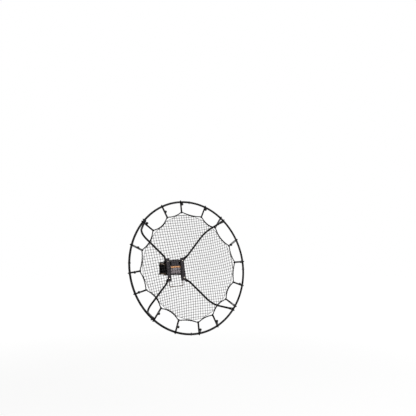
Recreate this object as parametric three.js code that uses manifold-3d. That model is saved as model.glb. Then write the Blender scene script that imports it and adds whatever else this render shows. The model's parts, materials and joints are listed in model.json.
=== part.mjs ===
// Round rebounding net that tilts on a clamp round a square pole
//
// Frame: millimetres, +Z up. The player stands on the -Y side and the pole is on the +Y side.
// The origin lies on the clamp's face that touches the pole, in the middle of its four bolts.
// Clock angles turn from the top towards +X, as the player sees them.

import * as THREE from "three";
import { mergeVertices } from "three/addons/utils/BufferGeometryUtils.js";
import Module from "manifold-3d";

const wasm = await Module();
wasm.setup();

// Clearances
const seatGap = 0.3; // between pieces that touch
const boreGap = 0.45; // round a bolt in its hole, on the radius
const slideGap = 0.5; // on each side of a piece that slides
const turnGap = 1; // between the fixed ears and the turning brackets

// Pole clamp, two plates drawn together by four long bolts
const poleDepth = 90;
const clampThickness = 4;
const clampBoltSpan = 174;
const clampBoltRise = 92;
const clampSideMargin = 13;
const clampEndMargin = 14;
const clampCorner = 8;
const rearFlangeDepth = 26;
const rearBendRadius = 6;
const clampBoltDiameter = 8;
const clampBoltHeadDiameter = 19;
const clampBoltHeadHeight = 4.6;
const clampNeckWidth = 9;
const clampNutWidth = 13;
const clampNutHeight = 6.5;
const clampThreadBeyondNut = 14;

// Tilt pivot, with the two fixed ears and the quadrant that the latch pins grip
const pivotForward = 24;
const pivotRise = 72;
const earThickness = 3.5;
const earLobeRadius = 14;
const latchDrop = 62;
const latchPinDiameter = 7;
const earHeel = 4;
const pivotBoltDiameter = 8;
const pivotNutWidth = 13;
const pivotHeadHeight = 4.5;
const pivotNutHeight = 5;
const pivotThreadBeyondNut = 1.5;
const restTilt = THREE.MathUtils.degToRad(10.75);
const leastTilt = THREE.MathUtils.degToRad(0);
const mostTilt = THREE.MathUtils.degToRad(21.5);
const quadrantSpare = THREE.MathUtils.degToRad(4);

// Yoke, two angle brackets with the plate between them
const yokeInnerWidth = 117;
const bracketThickness = 3;
const stripWidth = 39;
const stripForward = 21;
const stripAboveHub = 113;
const stripBelowHub = 108;
const stripCorner = 5;
const flangeLobeRadius = 15;
const flangeFootDepth = 22;
const flangeBendRadius = 4;
const webThickness = 3;
const webForward = 12;
const webAboveHub = 99;
const webBelowHub = 42;
const webNeckWidth = 76;
const webNeckBelowPivot = 34;
const webEarRoom = 14;
const webCorner = 5;
const webWaistInset = 5.5;

// Release bail, one bent wire whose turned-in ends are the latch pins
const bailDrop = 236;
const bailTopBend = 6;
const bailFootBend = 10;
const bailTravel = 8;
const pinInsideEar = 2.5;

// Latch springs
const springWire = 1.6;
const springCoilRadius = 3;
const springCurls = 8;
const springRoom = 0.7;
const springLead = 3.5;
const springAnchorBelowPivot = 17;
const springTurnRadius = 1.6;

// Ring, four quarters that plug into each other
const ringRadius = 600;
const ringTube = 19;
const ringWall = 1.5;
const ringForward = 283;
const ringDrop = 81;
const ringQuarters = 4;
const spigotLength = 80;
const socketSpare = 3;
const screwFromSeam = 55.5;
const ringScrewDiameter = 5;
const ringScrewHead = 9;
const ringScrewHeadHeight = 3;
const ringScrewNutHeight = 3.5;

// Arms, tubes flattened at both ends
const armTube = 18.5;
const armCount = 4;
const armForward = 43;
const armTabWidth = 27;
const armTabThickness = 5;
const armTabMargin = 13;
const hubBoltOffset = 79.5;
const hubCrankStart = 38;
const hubCrankRun = 24;
const armElbowInside = 95;
const armElbowBend = 120;
const ringTabLength = 30;
const armFlattenRun = 34;
const hubBoltDiameter = 8;
const hubBoltHead = 17;
const hubBoltHeadHeight = 4;
const hubNutWidth = 13;
const hubNutHeight = 4.5;
const hubThreadBeyondNut = 1;
const armBoltDiameter = 7;
const armBoltHead = 13;
const armBoltHeadHeight = 4;
const armNutHeight = 5;
const armThreadBeyondNut = 5.5;

// Net, border cord and bungees
const bungeeCount = 16;
const bungeeStray = [-3.7, -0.4, -2.8, 0.3, -1.9, -2.1, -3.8, -0.7, -3, -2.7, -2.5, 1.3, -2.3, -2.9, -2, -0.5];
const bungeeCord = 5;
const bungeeBall = 24;
const ballFromRing = [23, 23, 36, 83, 23, 32, 23, 39, 30, 49, 74, 35, 49, 63, 37, 55];
const cornerMeanInside = 105;
const cornerSpread = 12;
const sagMean = 19.5;
const sagSpread = 9.2;
const borderCord = 6;
const cornerSlack = 1.4;
const netBarWidth = 3.2;
const netThickness = 3;
const netRimWidth = 4;
const netCellsAcross = 15;

// Facet counts
const tubeSides = 10;
const wireSides = 8;
const loopSides = 5;
const ballSides = 6;
const springSides = 5;
const boltSides = 8;
const nutSides = 6;
const quarterSteps = 14;
const bendSteps = 4;
const spanSteps = 4;
const stepsPerCurl = 8;
const cornerSteps = 3;
const arcSteps = 6;

// Values that follow from the sizes
const fullTurn = 2 * Math.PI;
const halfPole = poleDepth / 2;
const hubLevel = -ringDrop;
const bracketInner = yokeInnerWidth / 2;
const bracketOuter = bracketInner + bracketThickness;
const earOuter = bracketInner - turnGap;
const earInner = earOuter - earThickness;
const pinRadius = latchPinDiameter / 2;
const quadrantRadius = latchDrop - pinRadius - seatGap;
const springReach = springCoilRadius + springWire / 2;
const springX = bracketOuter + springRoom + springReach;
const bailLegX = springX + springReach + springRoom + pinRadius;
const stripBack = -stripForward + bracketThickness;
const tubeRadius = ringTube / 2;
const tubeFlat = tubeRadius * Math.cos(Math.PI / tubeSides);
const ringStep = fullTurn / ringQuarters / quarterSteps;
const ringChordRadius = ringRadius * Math.cos(ringStep / 2);
const hubBoltRadius = Math.SQRT2 * hubBoltOffset;
const armElbowRadius = ringRadius - armElbowInside;
const cornerMeanRadius = ringRadius - cornerMeanInside;

const UNIT_X = new THREE.Vector3(1, 0, 0);
const UNIT_Y = new THREE.Vector3(0, 1, 0);
const UNIT_Z = new THREE.Vector3(0, 0, 1);

// Solids and geometry

// A closed geometry as a solid that can be cut and joined.
function solid(geometry) {
  const bare = geometry.clone();
  bare.deleteAttribute("normal");
  bare.deleteAttribute("uv");
  const merged = mergeVertices(bare);
  const shape = new wasm.Mesh({
    numProp: 3,
    vertProperties: merged.attributes.position.array,
    triVerts: new Uint32Array(merged.index.array),
  });
  return new wasm.Manifold(shape);
}

// A solid's faces as a geometry with flat normals.
function geometryOf(body) {
  const { vertProperties, triVerts } = body.getMesh();
  const shared = new THREE.BufferGeometry();
  shared.setAttribute("position", new THREE.BufferAttribute(vertProperties, 3));
  shared.setIndex(new THREE.BufferAttribute(triVerts, 1));
  const flat = shared.toNonIndexed();
  flat.computeVertexNormals();
  return flat;
}

function joined(bodies) {
  return bodies.reduce((sum, body) => sum.add(body));
}

function cut(body, tools) {
  return tools.reduce((rest, tool) => rest.subtract(tool), body);
}

// A point by its three coordinates.
function at(x, y, z) {
  return new THREE.Vector3(x, y, z);
}

// An outline drawn in two axes and given a thickness along their cross product.
function plate(outline, thickness, u, v, corner, segments = cornerSteps) {
  const geometry = new THREE.ExtrudeGeometry(outline, {
    depth: thickness,
    bevelEnabled: false,
    curveSegments: segments,
  });
  const axes = new THREE.Matrix4().makeBasis(u, v, u.clone().cross(v));
  return solid(geometry.applyMatrix4(axes.setPosition(corner)));
}

// A round or many-sided rod between two points.
function rod(radius, from, to, sides) {
  const along = to.clone().sub(from);
  const geometry = new THREE.CylinderGeometry(radius, radius, along.length(), sides);
  const turn = new THREE.Quaternion().setFromUnitVectors(UNIT_Y, along.clone().normalize());
  geometry.applyQuaternion(turn);
  const middle = from.clone().add(to).multiplyScalar(1 / 2);
  return solid(geometry.translate(middle.x, middle.y, middle.z));
}

// A round hole whose flats keep the bore gap to a bolt of the given diameter.
function hole(diameter, from, to, sides = boltSides) {
  return rod((diameter / 2 + boreGap) / Math.cos(Math.PI / sides), from, to, sides);
}

// An outline through corners given as [u, v, rounding radius].
function roundedOutline(corners) {
  const outline = new THREE.Shape();
  corners.forEach(([u, v, radius], i) => {
    const corner = new THREE.Vector2(u, v);
    const [lastU, lastV] = corners.at(i - 1);
    const [nextU, nextV] = corners[(i + 1) % corners.length];
    const back = new THREE.Vector2(lastU, lastV).sub(corner);
    const ahead = new THREE.Vector2(nextU, nextV).sub(corner);
    const reach = radius / Math.tan(back.angleTo(ahead) / 2);
    const start = corner.clone().addScaledVector(back.normalize(), reach);
    const end = corner.clone().addScaledVector(ahead.normalize(), reach);
    if (i === 0) outline.moveTo(start.x, start.y);
    else outline.lineTo(start.x, start.y);
    if (radius > 0) outline.quadraticCurveTo(u, v, end.x, end.y);
  });
  return outline;
}

function circleOutline(radius, sides) {
  const points = Array.from({ length: sides }, (_, i) => {
    const angle = ((i + 1 / 2) * fullTurn) / sides;
    return new THREE.Vector2(radius * Math.cos(angle), radius * Math.sin(angle));
  });
  return new THREE.Shape(points);
}

// A tube skinned over rings of points, mitred at each point of its path.
// Its section at a point is an ellipse, and a loop's path ends where it starts.
function skin(path, firstBinormal, halfSection, sides, loop = false) {
  const count = path.length;
  const steps = path.map((point, i) => path[(i + 1) % count].clone().sub(point).normalize());
  const positions = [];
  let binormal = firstBinormal.clone();
  path.forEach((point, i) => {
    const atStart = i === 0 && !loop;
    const atEnd = i === count - 1 && !loop;
    const into = atStart ? steps[i] : steps[(i + count - 1) % count];
    const out = atEnd ? into : steps[i];
    const across = into.clone().add(out).normalize();
    binormal = binormal.clone().addScaledVector(into, -binormal.dot(into)).normalize();
    const normal = binormal.clone().cross(into);
    const [halfNormal, halfBinormal] = halfSection(i);
    for (let j = 0; j < sides; j++) {
      const angle = ((j + 1 / 2) * fullTurn) / sides;
      const offset = normal.clone().multiplyScalar(halfNormal * Math.cos(angle));
      offset.addScaledVector(binormal, halfBinormal * Math.sin(angle));
      offset.addScaledVector(into, -offset.dot(across) / into.dot(across));
      positions.push(...point.clone().add(offset).toArray());
    }
  });
  return skinGeometry(path, positions, sides, loop);
}

// The faces between the rings, with a fan at each end of an open tube.
function skinGeometry(path, positions, sides, loop) {
  const count = path.length;
  const faces = [];
  const spans = loop ? count : count - 1;
  for (let i = 0; i < spans; i++) {
    for (let j = 0; j < sides; j++) {
      const next = (j + 1) % sides;
      const far = ((i + 1) % count) * sides;
      faces.push(i * sides + j, i * sides + next, far + j);
      faces.push(i * sides + next, far + next, far + j);
    }
  }
  if (!loop) {
    const first = count * sides;
    const last = (count - 1) * sides;
    positions.push(...path[0].toArray(), ...path[count - 1].toArray());
    for (let j = 0; j < sides; j++) {
      const next = (j + 1) % sides;
      faces.push(first, next, j, first + 1, last + j, last + next);
    }
  }
  const geometry = new THREE.BufferGeometry();
  geometry.setAttribute("position", new THREE.Float32BufferAttribute(positions, 3));
  geometry.setIndex(faces);
  return geometry;
}

// A path through corners given as [point, bend radius], with each bend as an arc.
function bentPath(corners) {
  const path = [corners[0][0]];
  for (let i = 1; i < corners.length - 1; i++) {
    const [corner, radius] = corners[i];
    const back = corners[i - 1][0].clone().sub(corner).normalize();
    const ahead = corners[i + 1][0].clone().sub(corner).normalize();
    const half = back.angleTo(ahead) / 2;
    const middle = back.clone().add(ahead).normalize();
    const centre = corner.clone().addScaledVector(middle, radius / Math.sin(half));
    const start = corner.clone().addScaledVector(back, radius / Math.tan(half)).sub(centre);
    const axis = ahead.clone().cross(back).normalize();
    const steps = Math.max(2, Math.round((bendSteps * (Math.PI - 2 * half)) / (Math.PI / 2)));
    for (let k = 0; k <= steps; k++) {
      const angle = ((Math.PI - 2 * half) * k) / steps;
      path.push(start.clone().applyAxisAngle(axis, angle).add(centre));
    }
  }
  path.push(corners.at(-1)[0]);
  return path;
}

// A bolt along +Z from the underside of its head, with its nut when it has one.
function boltSolid({ diameter, length, headWidth, headHeight, domed, grip, nutWidth, nutHeight }) {
  const radius = diameter / 2;
  const shank = rod(radius, at(0, 0, -headHeight / 2), at(0, 0, length), boltSides);
  const head = domed
    ? domedHead(headWidth / 2, headHeight)
    : rod(headWidth / Math.sqrt(3), at(0, 0, -headHeight), at(0, 0, 0), nutSides);
  const bodies = [head, shank];
  if (nutHeight) {
    const nutTop = at(0, 0, grip + nutHeight);
    bodies.push(rod(nutWidth / Math.sqrt(3), at(0, 0, grip), nutTop, nutSides));
  }
  return joined(bodies);
}

// A low round head, revolved from its profile.
function domedHead(radius, height) {
  const rimShare = 0.3;
  const shoulderShare = 0.7;
  const profile = [
    new THREE.Vector2(0, -height),
    new THREE.Vector2(radius * shoulderShare, -height * shoulderShare),
    new THREE.Vector2(radius, -height * rimShare),
    new THREE.Vector2(radius, 0),
    new THREE.Vector2(0, 0),
  ];
  const geometry = new THREE.LatheGeometry(profile, boltSides);
  return solid(geometry.rotateX(Math.PI / 2));
}

// A nut round its thread, along +Z.
function nutSolid(width, height, thread) {
  const body = rod(width / Math.sqrt(3), at(0, 0, 0), at(0, 0, height), nutSides);
  return body.subtract(hole(thread, at(0, 0, -height), at(0, 0, 2 * height)));
}

// Materials and placing

const looks = {
  blackSteel: { color: 0x2b282b, roughness: 0.5, metalness: 0.6 },
  blackClamp: { color: 0x1a191a, roughness: 0.55, metalness: 0.6 },
  ringPaint: { color: 0x201f21, roughness: 0.45, metalness: 0.5 },
  zinc: { color: 0x9c968c, roughness: 0.35, metalness: 0.95 },
  wire: { color: 0x7b7268, roughness: 0.4, metalness: 0.9 },
  cord: { color: 0x171718, roughness: 0.9, metalness: 0 },
  netCord: { color: 0x2e2c2e, roughness: 0.9, metalness: 0 },
};

function named(name, body, look) {
  const geometry = body.isBufferGeometry ? body : geometryOf(body);
  const mesh = new THREE.Mesh(geometry, new THREE.MeshStandardMaterial(looks[look]));
  mesh.name = name;
  return mesh;
}

// A mesh or group turned to a clock angle about the ring's axis.
function clocked(object, angle) {
  const turned = new THREE.Group();
  turned.rotation.y = angle;
  turned.add(object);
  return turned;
}

// Pole clamp

function clampBoltPlaces() {
  const places = [];
  for (const side of [-1, 1])
    for (const level of [-1, 1])
      places.push([(side * clampBoltSpan) / 2, (level * clampBoltRise) / 2]);
  return places;
}

// The ear's outline about the pivot: u runs back to the pole and v up.
function earOutline() {
  const down = (3 / 4) * fullTurn;
  const front = down - mostTilt - quadrantSpare;
  const back = down - leastTilt + quadrantSpare;
  const root = pivotForward - clampThickness / 2;
  const outline = new THREE.Shape();
  outline.moveTo(root, earLobeRadius);
  outline.absarc(0, 0, earLobeRadius, Math.PI / 2, front, false);
  outline.absarc(0, 0, quadrantRadius, front, back, false);
  outline.lineTo(root, -quadrantRadius - earHeel);
  return outline;
}

function frontClamp() {
  const halfWidth = clampBoltSpan / 2 + clampSideMargin;
  const bottom = -clampBoltRise / 2 - clampEndMargin;
  const top = pivotRise + earLobeRadius;
  const web = plate(
    roundedOutline([
      [-halfWidth, bottom, clampCorner],
      [halfWidth, bottom, clampCorner],
      [halfWidth, top, clampCorner],
      [-halfWidth, top, clampCorner],
    ]),
    clampThickness, UNIT_X, UNIT_Z, at(0, 0, 0),
  );
  const pivot = at(0, -pivotForward, pivotRise);
  const ears = [earInner, -earOuter].map((x) =>
    plate(earOutline(), earThickness, UNIT_Y, UNIT_Z, pivot.clone().setX(x), arcSteps),
  );
  const necks = clampBoltPlaces().map(([x, z]) => {
    const width = clampNeckWidth + 2 * slideGap;
    return solid(new THREE.BoxGeometry(width, 3 * clampThickness, width).translate(x, 0, z));
  });
  const bore = hole(
    pivotBoltDiameter, pivot.clone().setX(-bracketOuter), pivot.clone().setX(bracketOuter),
  );
  return cut(joined([web, ...ears]), [...necks, bore]);
}

// A channel bent from one plate, its flanges pointing away from the pole.
function rearClamp() {
  const halfWidth = clampBoltSpan / 2 + clampSideMargin;
  const halfHeight = clampBoltRise / 2 + clampEndMargin;
  const back = clampThickness + rearFlangeDepth;
  const innerBend = rearBendRadius - clampThickness;
  const section = roundedOutline([
    [0, -halfHeight, rearBendRadius],
    [back, -halfHeight, 0],
    [back, clampThickness - halfHeight, 0],
    [clampThickness, clampThickness - halfHeight, innerBend],
    [clampThickness, halfHeight - clampThickness, innerBend],
    [back, halfHeight - clampThickness, 0],
    [back, halfHeight, 0],
    [0, halfHeight, rearBendRadius],
  ]);
  const channel = plate(section, 2 * halfWidth, UNIT_Y, UNIT_Z, at(-halfWidth, poleDepth, 0));
  const bores = clampBoltPlaces().map(([x, z]) =>
    hole(clampBoltDiameter, at(x, halfPole, z), at(x, poleDepth + back, z)),
  );
  return cut(channel, bores);
}

// A carriage bolt: round head, square neck, long shank.
function clampBolt() {
  const grip = poleDepth + 2 * clampThickness + 2 * seatGap;
  const length = grip + clampNutHeight + clampThreadBeyondNut;
  const bolt = boltSolid({
    diameter: clampBoltDiameter,
    length,
    headWidth: clampBoltHeadDiameter,
    headHeight: clampBoltHeadHeight,
    domed: true,
  });
  const neck = new THREE.BoxGeometry(clampNeckWidth, clampNeckWidth, 2 * clampThickness);
  const inHead = solid(new THREE.BoxGeometry(clampNeckWidth, clampNeckWidth, clampBoltHeadHeight));
  return bolt.add(solid(neck).subtract(inHead.translate(0, 0, -clampBoltHeadHeight / 2)));
}

function clampFixings() {
  const group = new THREE.Group();
  const headSeat = -clampThickness - seatGap;
  const nutSeat = poleDepth + clampThickness + seatGap;
  clampBoltPlaces().forEach(([x, z], i) => {
    const bolt = named("clamp_bolt_" + (i + 1), clampBolt(), "zinc");
    bolt.position.set(x, headSeat, z);
    bolt.rotation.x = -Math.PI / 2;
    const nutBody = nutSolid(clampNutWidth, clampNutHeight, clampBoltDiameter);
    const nut = named("clamp_nut_" + (i + 1), nutBody, "zinc");
    nut.position.set(x, nutSeat, z);
    nut.rotation.x = -Math.PI / 2;
    group.add(bolt, nut);
  });
  return group;
}

// The two short bolts that the yoke tilts on, each with its nut outside the bracket.
function pivotFixings() {
  const group = new THREE.Group();
  const grip = bracketOuter + seatGap - (earInner - seatGap);
  const length = grip + pivotNutHeight + pivotThreadBeyondNut;
  for (const [side, word] of [[-1, "left"], [1, "right"]]) {
    const bolt = boltSolid({
      diameter: pivotBoltDiameter,
      length,
      headWidth: pivotNutWidth,
      headHeight: pivotHeadHeight,
    });
    const fixing = new THREE.Group();
    fixing.add(named("pivot_bolt_" + word, bolt, "zinc"));
    const nutBody = nutSolid(pivotNutWidth, pivotNutHeight, pivotBoltDiameter);
    const nut = named("pivot_nut_" + word, nutBody, "zinc");
    nut.position.z = grip;
    fixing.add(nut);
    fixing.position.set(side * (earInner - seatGap), -pivotForward, pivotRise);
    fixing.rotation.y = (side * Math.PI) / 2;
    group.add(fixing);
  }
  return group;
}

// Yoke. Its frame has its origin on the pivot, +Z along the brackets and +Y towards the pole

// The bracket's side outline: a lobe round the pivot above, a taper to the foot below.
function flangeOutline() {
  const top = hubLevel + stripAboveHub;
  const foot = hubLevel - stripBelowHub;
  const outline = new THREE.Shape();
  outline.moveTo(-stripForward, foot);
  outline.lineTo(flangeFootDepth - stripForward - stripCorner, foot);
  const footBack = flangeFootDepth - stripForward;
  outline.quadraticCurveTo(footBack, foot, footBack, foot + stripCorner);
  outline.absarc(0, 0, flangeLobeRadius, 0, Math.PI * (3 / 4), false);
  outline.lineTo(stripBack, top);
  outline.lineTo(-stripForward, top);
  return outline;
}

// The strip's outline as the player sees it, on the +X side.
function stripOutline() {
  const top = hubLevel + stripAboveHub;
  const foot = hubLevel - stripBelowHub;
  return roundedOutline([
    [bracketInner, foot, 0],
    [bracketInner + stripWidth, foot, stripCorner],
    [bracketInner + stripWidth, top, stripCorner],
    [bracketInner, top, 0],
  ]);
}

// The angle's section: strip in front, flange going back, bent on a radius.
function bracketSection() {
  const deepest = flangeLobeRadius + bracketThickness;
  const innerBend = flangeBendRadius - bracketThickness;
  return roundedOutline([
    [bracketInner, -stripForward, flangeBendRadius],
    [bracketInner + stripWidth, -stripForward, 0],
    [bracketInner + stripWidth, stripBack, 0],
    [bracketOuter, stripBack, innerBend],
    [bracketOuter, deepest, 0],
    [bracketInner, deepest, 0],
  ]);
}

// Slot for the latch pin, as long as the bail's travel.
function latchSlot() {
  const radius = pinRadius + slideGap;
  const slot = new THREE.Shape();
  slot.absarc(0, -latchDrop, radius, 0, Math.PI, false);
  slot.absarc(0, -latchDrop - bailTravel, radius, Math.PI, fullTurn, false);
  const width = 3 * bracketThickness;
  const start = at(bracketInner - bracketThickness, 0, 0);
  return plate(slot, width, UNIT_Y, UNIT_Z, start, bendSteps);
}

function sideBracket() {
  const foot = hubLevel - stripBelowHub;
  const length = stripAboveHub + stripBelowHub;
  const angle = plate(bracketSection(), length, UNIT_X, UNIT_Y, at(0, 0, foot));
  const sideView = plate(flangeOutline(), stripWidth, UNIT_Y, UNIT_Z, at(bracketInner, 0, 0), arcSteps);
  const depth = stripForward + flangeLobeRadius;
  const frontView = plate(stripOutline(), 2 * depth, UNIT_X, UNIT_Z, at(0, depth, 0));
  const pivotBore = hole(pivotBoltDiameter, at(earInner, 0, 0), at(bailLegX, 0, 0));
  const anchor = hole(
    springWire,
    at(earOuter, springCoilRadius, -springAnchorBelowPivot),
    at(springX, springCoilRadius, -springAnchorBelowPivot),
    nutSides,
  );
  const bolts = [-1, 1].map((level) => {
    const z = hubLevel + level * hubBoltOffset;
    return hole(hubBoltDiameter, at(hubBoltOffset, -2 * stripForward, z), at(hubBoltOffset, 0, z));
  });
  const bracket = angle.intersect(sideView).intersect(frontView);
  return cut(bracket, [pivotBore, anchor, latchSlot(), ...bolts]);
}

// The plate between the brackets, necked so that the fixed ears pass beside it.
function yokeWeb() {
  const foot = hubLevel - webBelowHub;
  const top = hubLevel + webAboveHub;
  const full = bracketInner - seatGap;
  const waist = bracketInner - webWaistInset;
  const neck = webNeckWidth / 2;
  const shoulder = -webNeckBelowPivot;
  const earFoot = -latchDrop - webEarRoom;
  const right = [
    [full, foot, 0],
    [full, earFoot, 0],
    [waist, earFoot, 0],
    [waist, shoulder, webCorner],
    [neck, shoulder, 0],
    [neck, top, webCorner],
  ];
  const left = right.map(([x, z, radius]) => [-x, z, radius]).reverse();
  const outline = roundedOutline([...right, ...left]);
  return plate(outline, webThickness, UNIT_X, UNIT_Z, at(0, webThickness - webForward, 0));
}

function bailPath() {
  const tip = earInner - pinInsideEar;
  const half = [
    [at(tip, 0, -latchDrop), 0],
    [at(bailLegX, 0, -latchDrop), bailTopBend],
    [at(bailLegX, 0, -bailDrop), bailFootBend],
  ];
  const other = half.map(([p, radius]) => [at(-p.x, p.y, p.z), radius]).reverse();
  return bentPath([...half, ...other]);
}

function releaseBail() {
  return skin(bailPath(), UNIT_Y, () => [pinRadius, pinRadius], wireSides);
}

// The spring's centre line: a hook under the latch pin, the coil, and a turned-in end.
function springPath(side) {
  const wire = springWire / 2;
  const hook = pinRadius + seatGap + wire;
  const path = [];
  for (let i = 0; i <= 2 * bendSteps; i++) {
    const angle = (Math.PI * i) / (2 * bendSteps);
    path.push(at(0, -hook * Math.cos(angle), -latchDrop - hook * Math.sin(angle)));
  }
  const bottom = -latchDrop + hook + springLead;
  const top = -springAnchorBelowPivot - springLead;
  const steps = springCurls * stepsPerCurl;
  for (let i = 0; i <= steps; i++) {
    const angle = (fullTurn * i) / stepsPerCurl;
    const height = bottom + ((top - bottom) * i) / steps;
    const x = side * springCoilRadius * Math.sin(angle);
    path.push(at(x, springCoilRadius * Math.cos(angle), height));
  }
  const turn = at(0, springCoilRadius, -springAnchorBelowPivot);
  const end = turn.clone().setX(side * (bracketInner - springX));
  return [...path, ...bentPath([[path.at(-1), 0], [turn, springTurnRadius], [end, 0]]).slice(1)];
}

// The least gap between parts of the wire that are half a curl or more apart along it.
function leastGap(path, wire, curlRadius) {
  let least = Infinity;
  for (let i = 0; i < path.length; i++) {
    let along = 0;
    for (let j = i + 1; j < path.length; j++) {
      along += path[j].distanceTo(path[j - 1]);
      if (along > Math.PI * curlRadius)
        least = Math.min(least, path[i].distanceTo(path[j]) - wire);
    }
  }
  return least;
}

function latchSpring(side) {
  const path = springPath(side);
  console.log("spring's least gap to itself " + leastGap(path, springWire, springCoilRadius).toFixed(2) + " mm");
  const wire = springWire / 2;
  return skin(path, UNIT_X, () => [wire, wire], springSides);
}

// Ring. Its frame has its origin in the ring's middle, in the yoke's directions

// The ring is bent in small equal chords, with each seam and each arm in the middle of one.
function ringPoint(angle) {
  const fromMiddle = angle - Math.round(angle / ringStep) * ringStep;
  const radius = ringChordRadius / Math.cos(fromMiddle);
  return at(radius * Math.sin(angle), 0, radius * Math.cos(angle));
}

// The tube's centre line between two clock angles.
function ringPath(from, to) {
  const path = [ringPoint(from)];
  for (let i = Math.ceil(from / ringStep - 1 / 2); (i + 1 / 2) * ringStep < to; i++)
    path.push(ringPoint((i + 1 / 2) * ringStep));
  path.push(ringPoint(to));
  return path;
}

function ringTubing(radius, from, to) {
  return solid(skin(ringPath(from, to), UNIT_Y, () => [radius, radius], tubeSides));
}

// A hole through the ring along its radius, at a clock angle.
function ringBore(diameter, angle) {
  const out = at(Math.sin(angle), 0, Math.cos(angle));
  const from = out.clone().multiplyScalar(ringRadius - ringTube);
  const to = out.clone().multiplyScalar(ringRadius + ringTube);
  return hole(diameter, from, to, nutSides);
}

// A quarter with a socket at its start and a narrowed spigot past its end.
function ringQuarter() {
  const quarter = fullTurn / ringQuarters;
  const halfSeam = seatGap / 2 / ringRadius;
  const spigotAngle = spigotLength / ringRadius;
  const socketAngle = (spigotLength + socketSpare) / ringRadius;
  const screwAngle = screwFromSeam / ringRadius;
  const bore = tubeRadius - ringWall;
  const tube = ringTubing(tubeRadius, halfSeam, quarter - halfSeam);
  const spigotRadius = bore - seatGap / Math.cos(Math.PI / tubeSides);
  const spigot = ringTubing(spigotRadius, quarter - socketAngle / 2, quarter + spigotAngle);
  const socket = ringTubing(bore, -halfSeam, socketAngle);
  return cut(tube.subtract(socket).add(spigot), [
    ringBore(ringScrewDiameter, screwAngle),
    ringBore(ringScrewDiameter, quarter + screwAngle),
    ringBore(armBoltDiameter, quarter / 2),
  ]);
}

function ringScrew() {
  const grip = 2 * (tubeFlat + seatGap);
  const screw = boltSolid({
    diameter: ringScrewDiameter,
    length: grip + ringScrewNutHeight,
    headWidth: ringScrewHead,
    headHeight: ringScrewHeadHeight,
    domed: true,
    grip,
    nutWidth: ringScrewHead,
    nutHeight: ringScrewNutHeight,
  });
  const seat = ringPoint(screwFromSeam / ringRadius).length() + tubeFlat + seatGap;
  return screw.rotate([180, 0, 0]).translate(0, 0, seat);
}

// Arms, drawn in the radial plane at twelve o'clock: z runs outwards from the ring's axis

function armPath() {
  const hubTab = ringForward + stripBack + seatGap + armTabThickness / 2;
  const run = ringForward - armForward;
  const tabRadius = ringChordRadius - tubeFlat - seatGap - armTabThickness / 2;
  const crankStart = hubBoltRadius + hubCrankStart;
  const start = at(0, hubTab, hubBoltRadius - armTabMargin);
  return bentPath([
    [start, 0],
    [at(0, hubTab, crankStart), armTabThickness],
    [at(0, run, crankStart + hubCrankRun), armTube / 2],
    [at(0, run, armElbowRadius), armElbowBend],
    [at(0, ringTabLength / 2, tabRadius), armTabThickness],
    [at(0, -armTabMargin, tabRadius), 0],
  ]);
}

// The arm's half width and half thickness at a distance from its nearer end.
function armSection(fromHub, fromRing) {
  const round = armTube / 2;
  const hubFlat = hubCrankStart + armTabMargin;
  const ringFlat = ringTabLength / 2 + armTabMargin;
  const toHub = (fromHub - hubFlat) / armFlattenRun;
  const toRing = (fromRing - ringFlat) / armFlattenRun;
  const share = THREE.MathUtils.smoothstep(Math.min(toHub, toRing), 0, 1);
  const endShare = Math.min(1, Math.min(fromHub, fromRing) / armTabMargin);
  const tipShare = Math.sqrt(1 - (1 - endShare) * (1 - endShare) * (3 / 4));
  const thickness = THREE.MathUtils.lerp(armTabThickness / 2, round, share);
  const width = THREE.MathUtils.lerp(armTabWidth / 2, round, share) * tipShare;
  return [thickness, width];
}

// The path with more points at the given distances from its two ends.
function refined(path, distances) {
  const fine = [...path];
  for (const distance of distances) {
    insertPoint(fine, distance);
    insertPoint(fine.reverse(), distance);
    fine.reverse();
  }
  return fine;
}

// Puts a point on a path at a distance from its start, where none is near.
function insertPoint(path, distance) {
  let along = 0;
  for (let i = 1; i < path.length; i++) {
    const span = path[i].distanceTo(path[i - 1]);
    const share = (distance - along) / span;
    const near = Math.min(share, 1 - share) * span < armTabThickness / 2;
    if (share > 0 && share < 1 && !near)
      path.splice(i, 0, path[i - 1].clone().lerp(path[i], share));
    if (share < 1) return;
    along += span;
  }
}

function arm() {
  const tip = [1 / 3, 1].map((share) => share * armTabMargin);
  const flat = hubCrankStart + armTabMargin;
  const swelling = [0, 1 / 2, 1].map((share) => flat + share * armFlattenRun);
  const path = refined(armPath(), [...tip, ringTabLength, ...swelling]);
  const distances = path.map(() => 0);
  for (let i = 1; i < path.length; i++)
    distances[i] = distances[i - 1] + path[i].distanceTo(path[i - 1]);
  const total = distances.at(-1);
  const section = (i) => armSection(distances[i], total - distances[i]);
  const tube = solid(skin(path, UNIT_X, section, tubeSides));
  const hubBore = hole(hubBoltDiameter, at(0, 0, hubBoltRadius), at(0, ringForward, hubBoltRadius));
  return cut(tube, [hubBore, ringBore(armBoltDiameter, 0)]);
}

function hubBolt() {
  const grip = bracketThickness + armTabThickness + 3 * seatGap;
  return boltSolid({
    diameter: hubBoltDiameter,
    length: grip + hubNutHeight + hubThreadBeyondNut,
    headWidth: hubBoltHead,
    headHeight: hubBoltHeadHeight,
    domed: true,
    grip,
    nutWidth: hubNutWidth,
    nutHeight: hubNutHeight,
  });
}

// The bolt through an arm's tab and the ring, its nut outside.
function armRingBolt() {
  const grip = armTabThickness + 2 * tubeFlat + 3 * seatGap;
  const bolt = boltSolid({
    diameter: armBoltDiameter,
    length: grip + armNutHeight + armThreadBeyondNut,
    headWidth: armBoltHead,
    headHeight: armBoltHeadHeight,
    domed: true,
    grip,
    nutWidth: armBoltHead,
    nutHeight: armNutHeight,
  });
  return bolt.translate(0, 0, ringChordRadius - tubeFlat - armTabThickness - 2 * seatGap);
}

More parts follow.
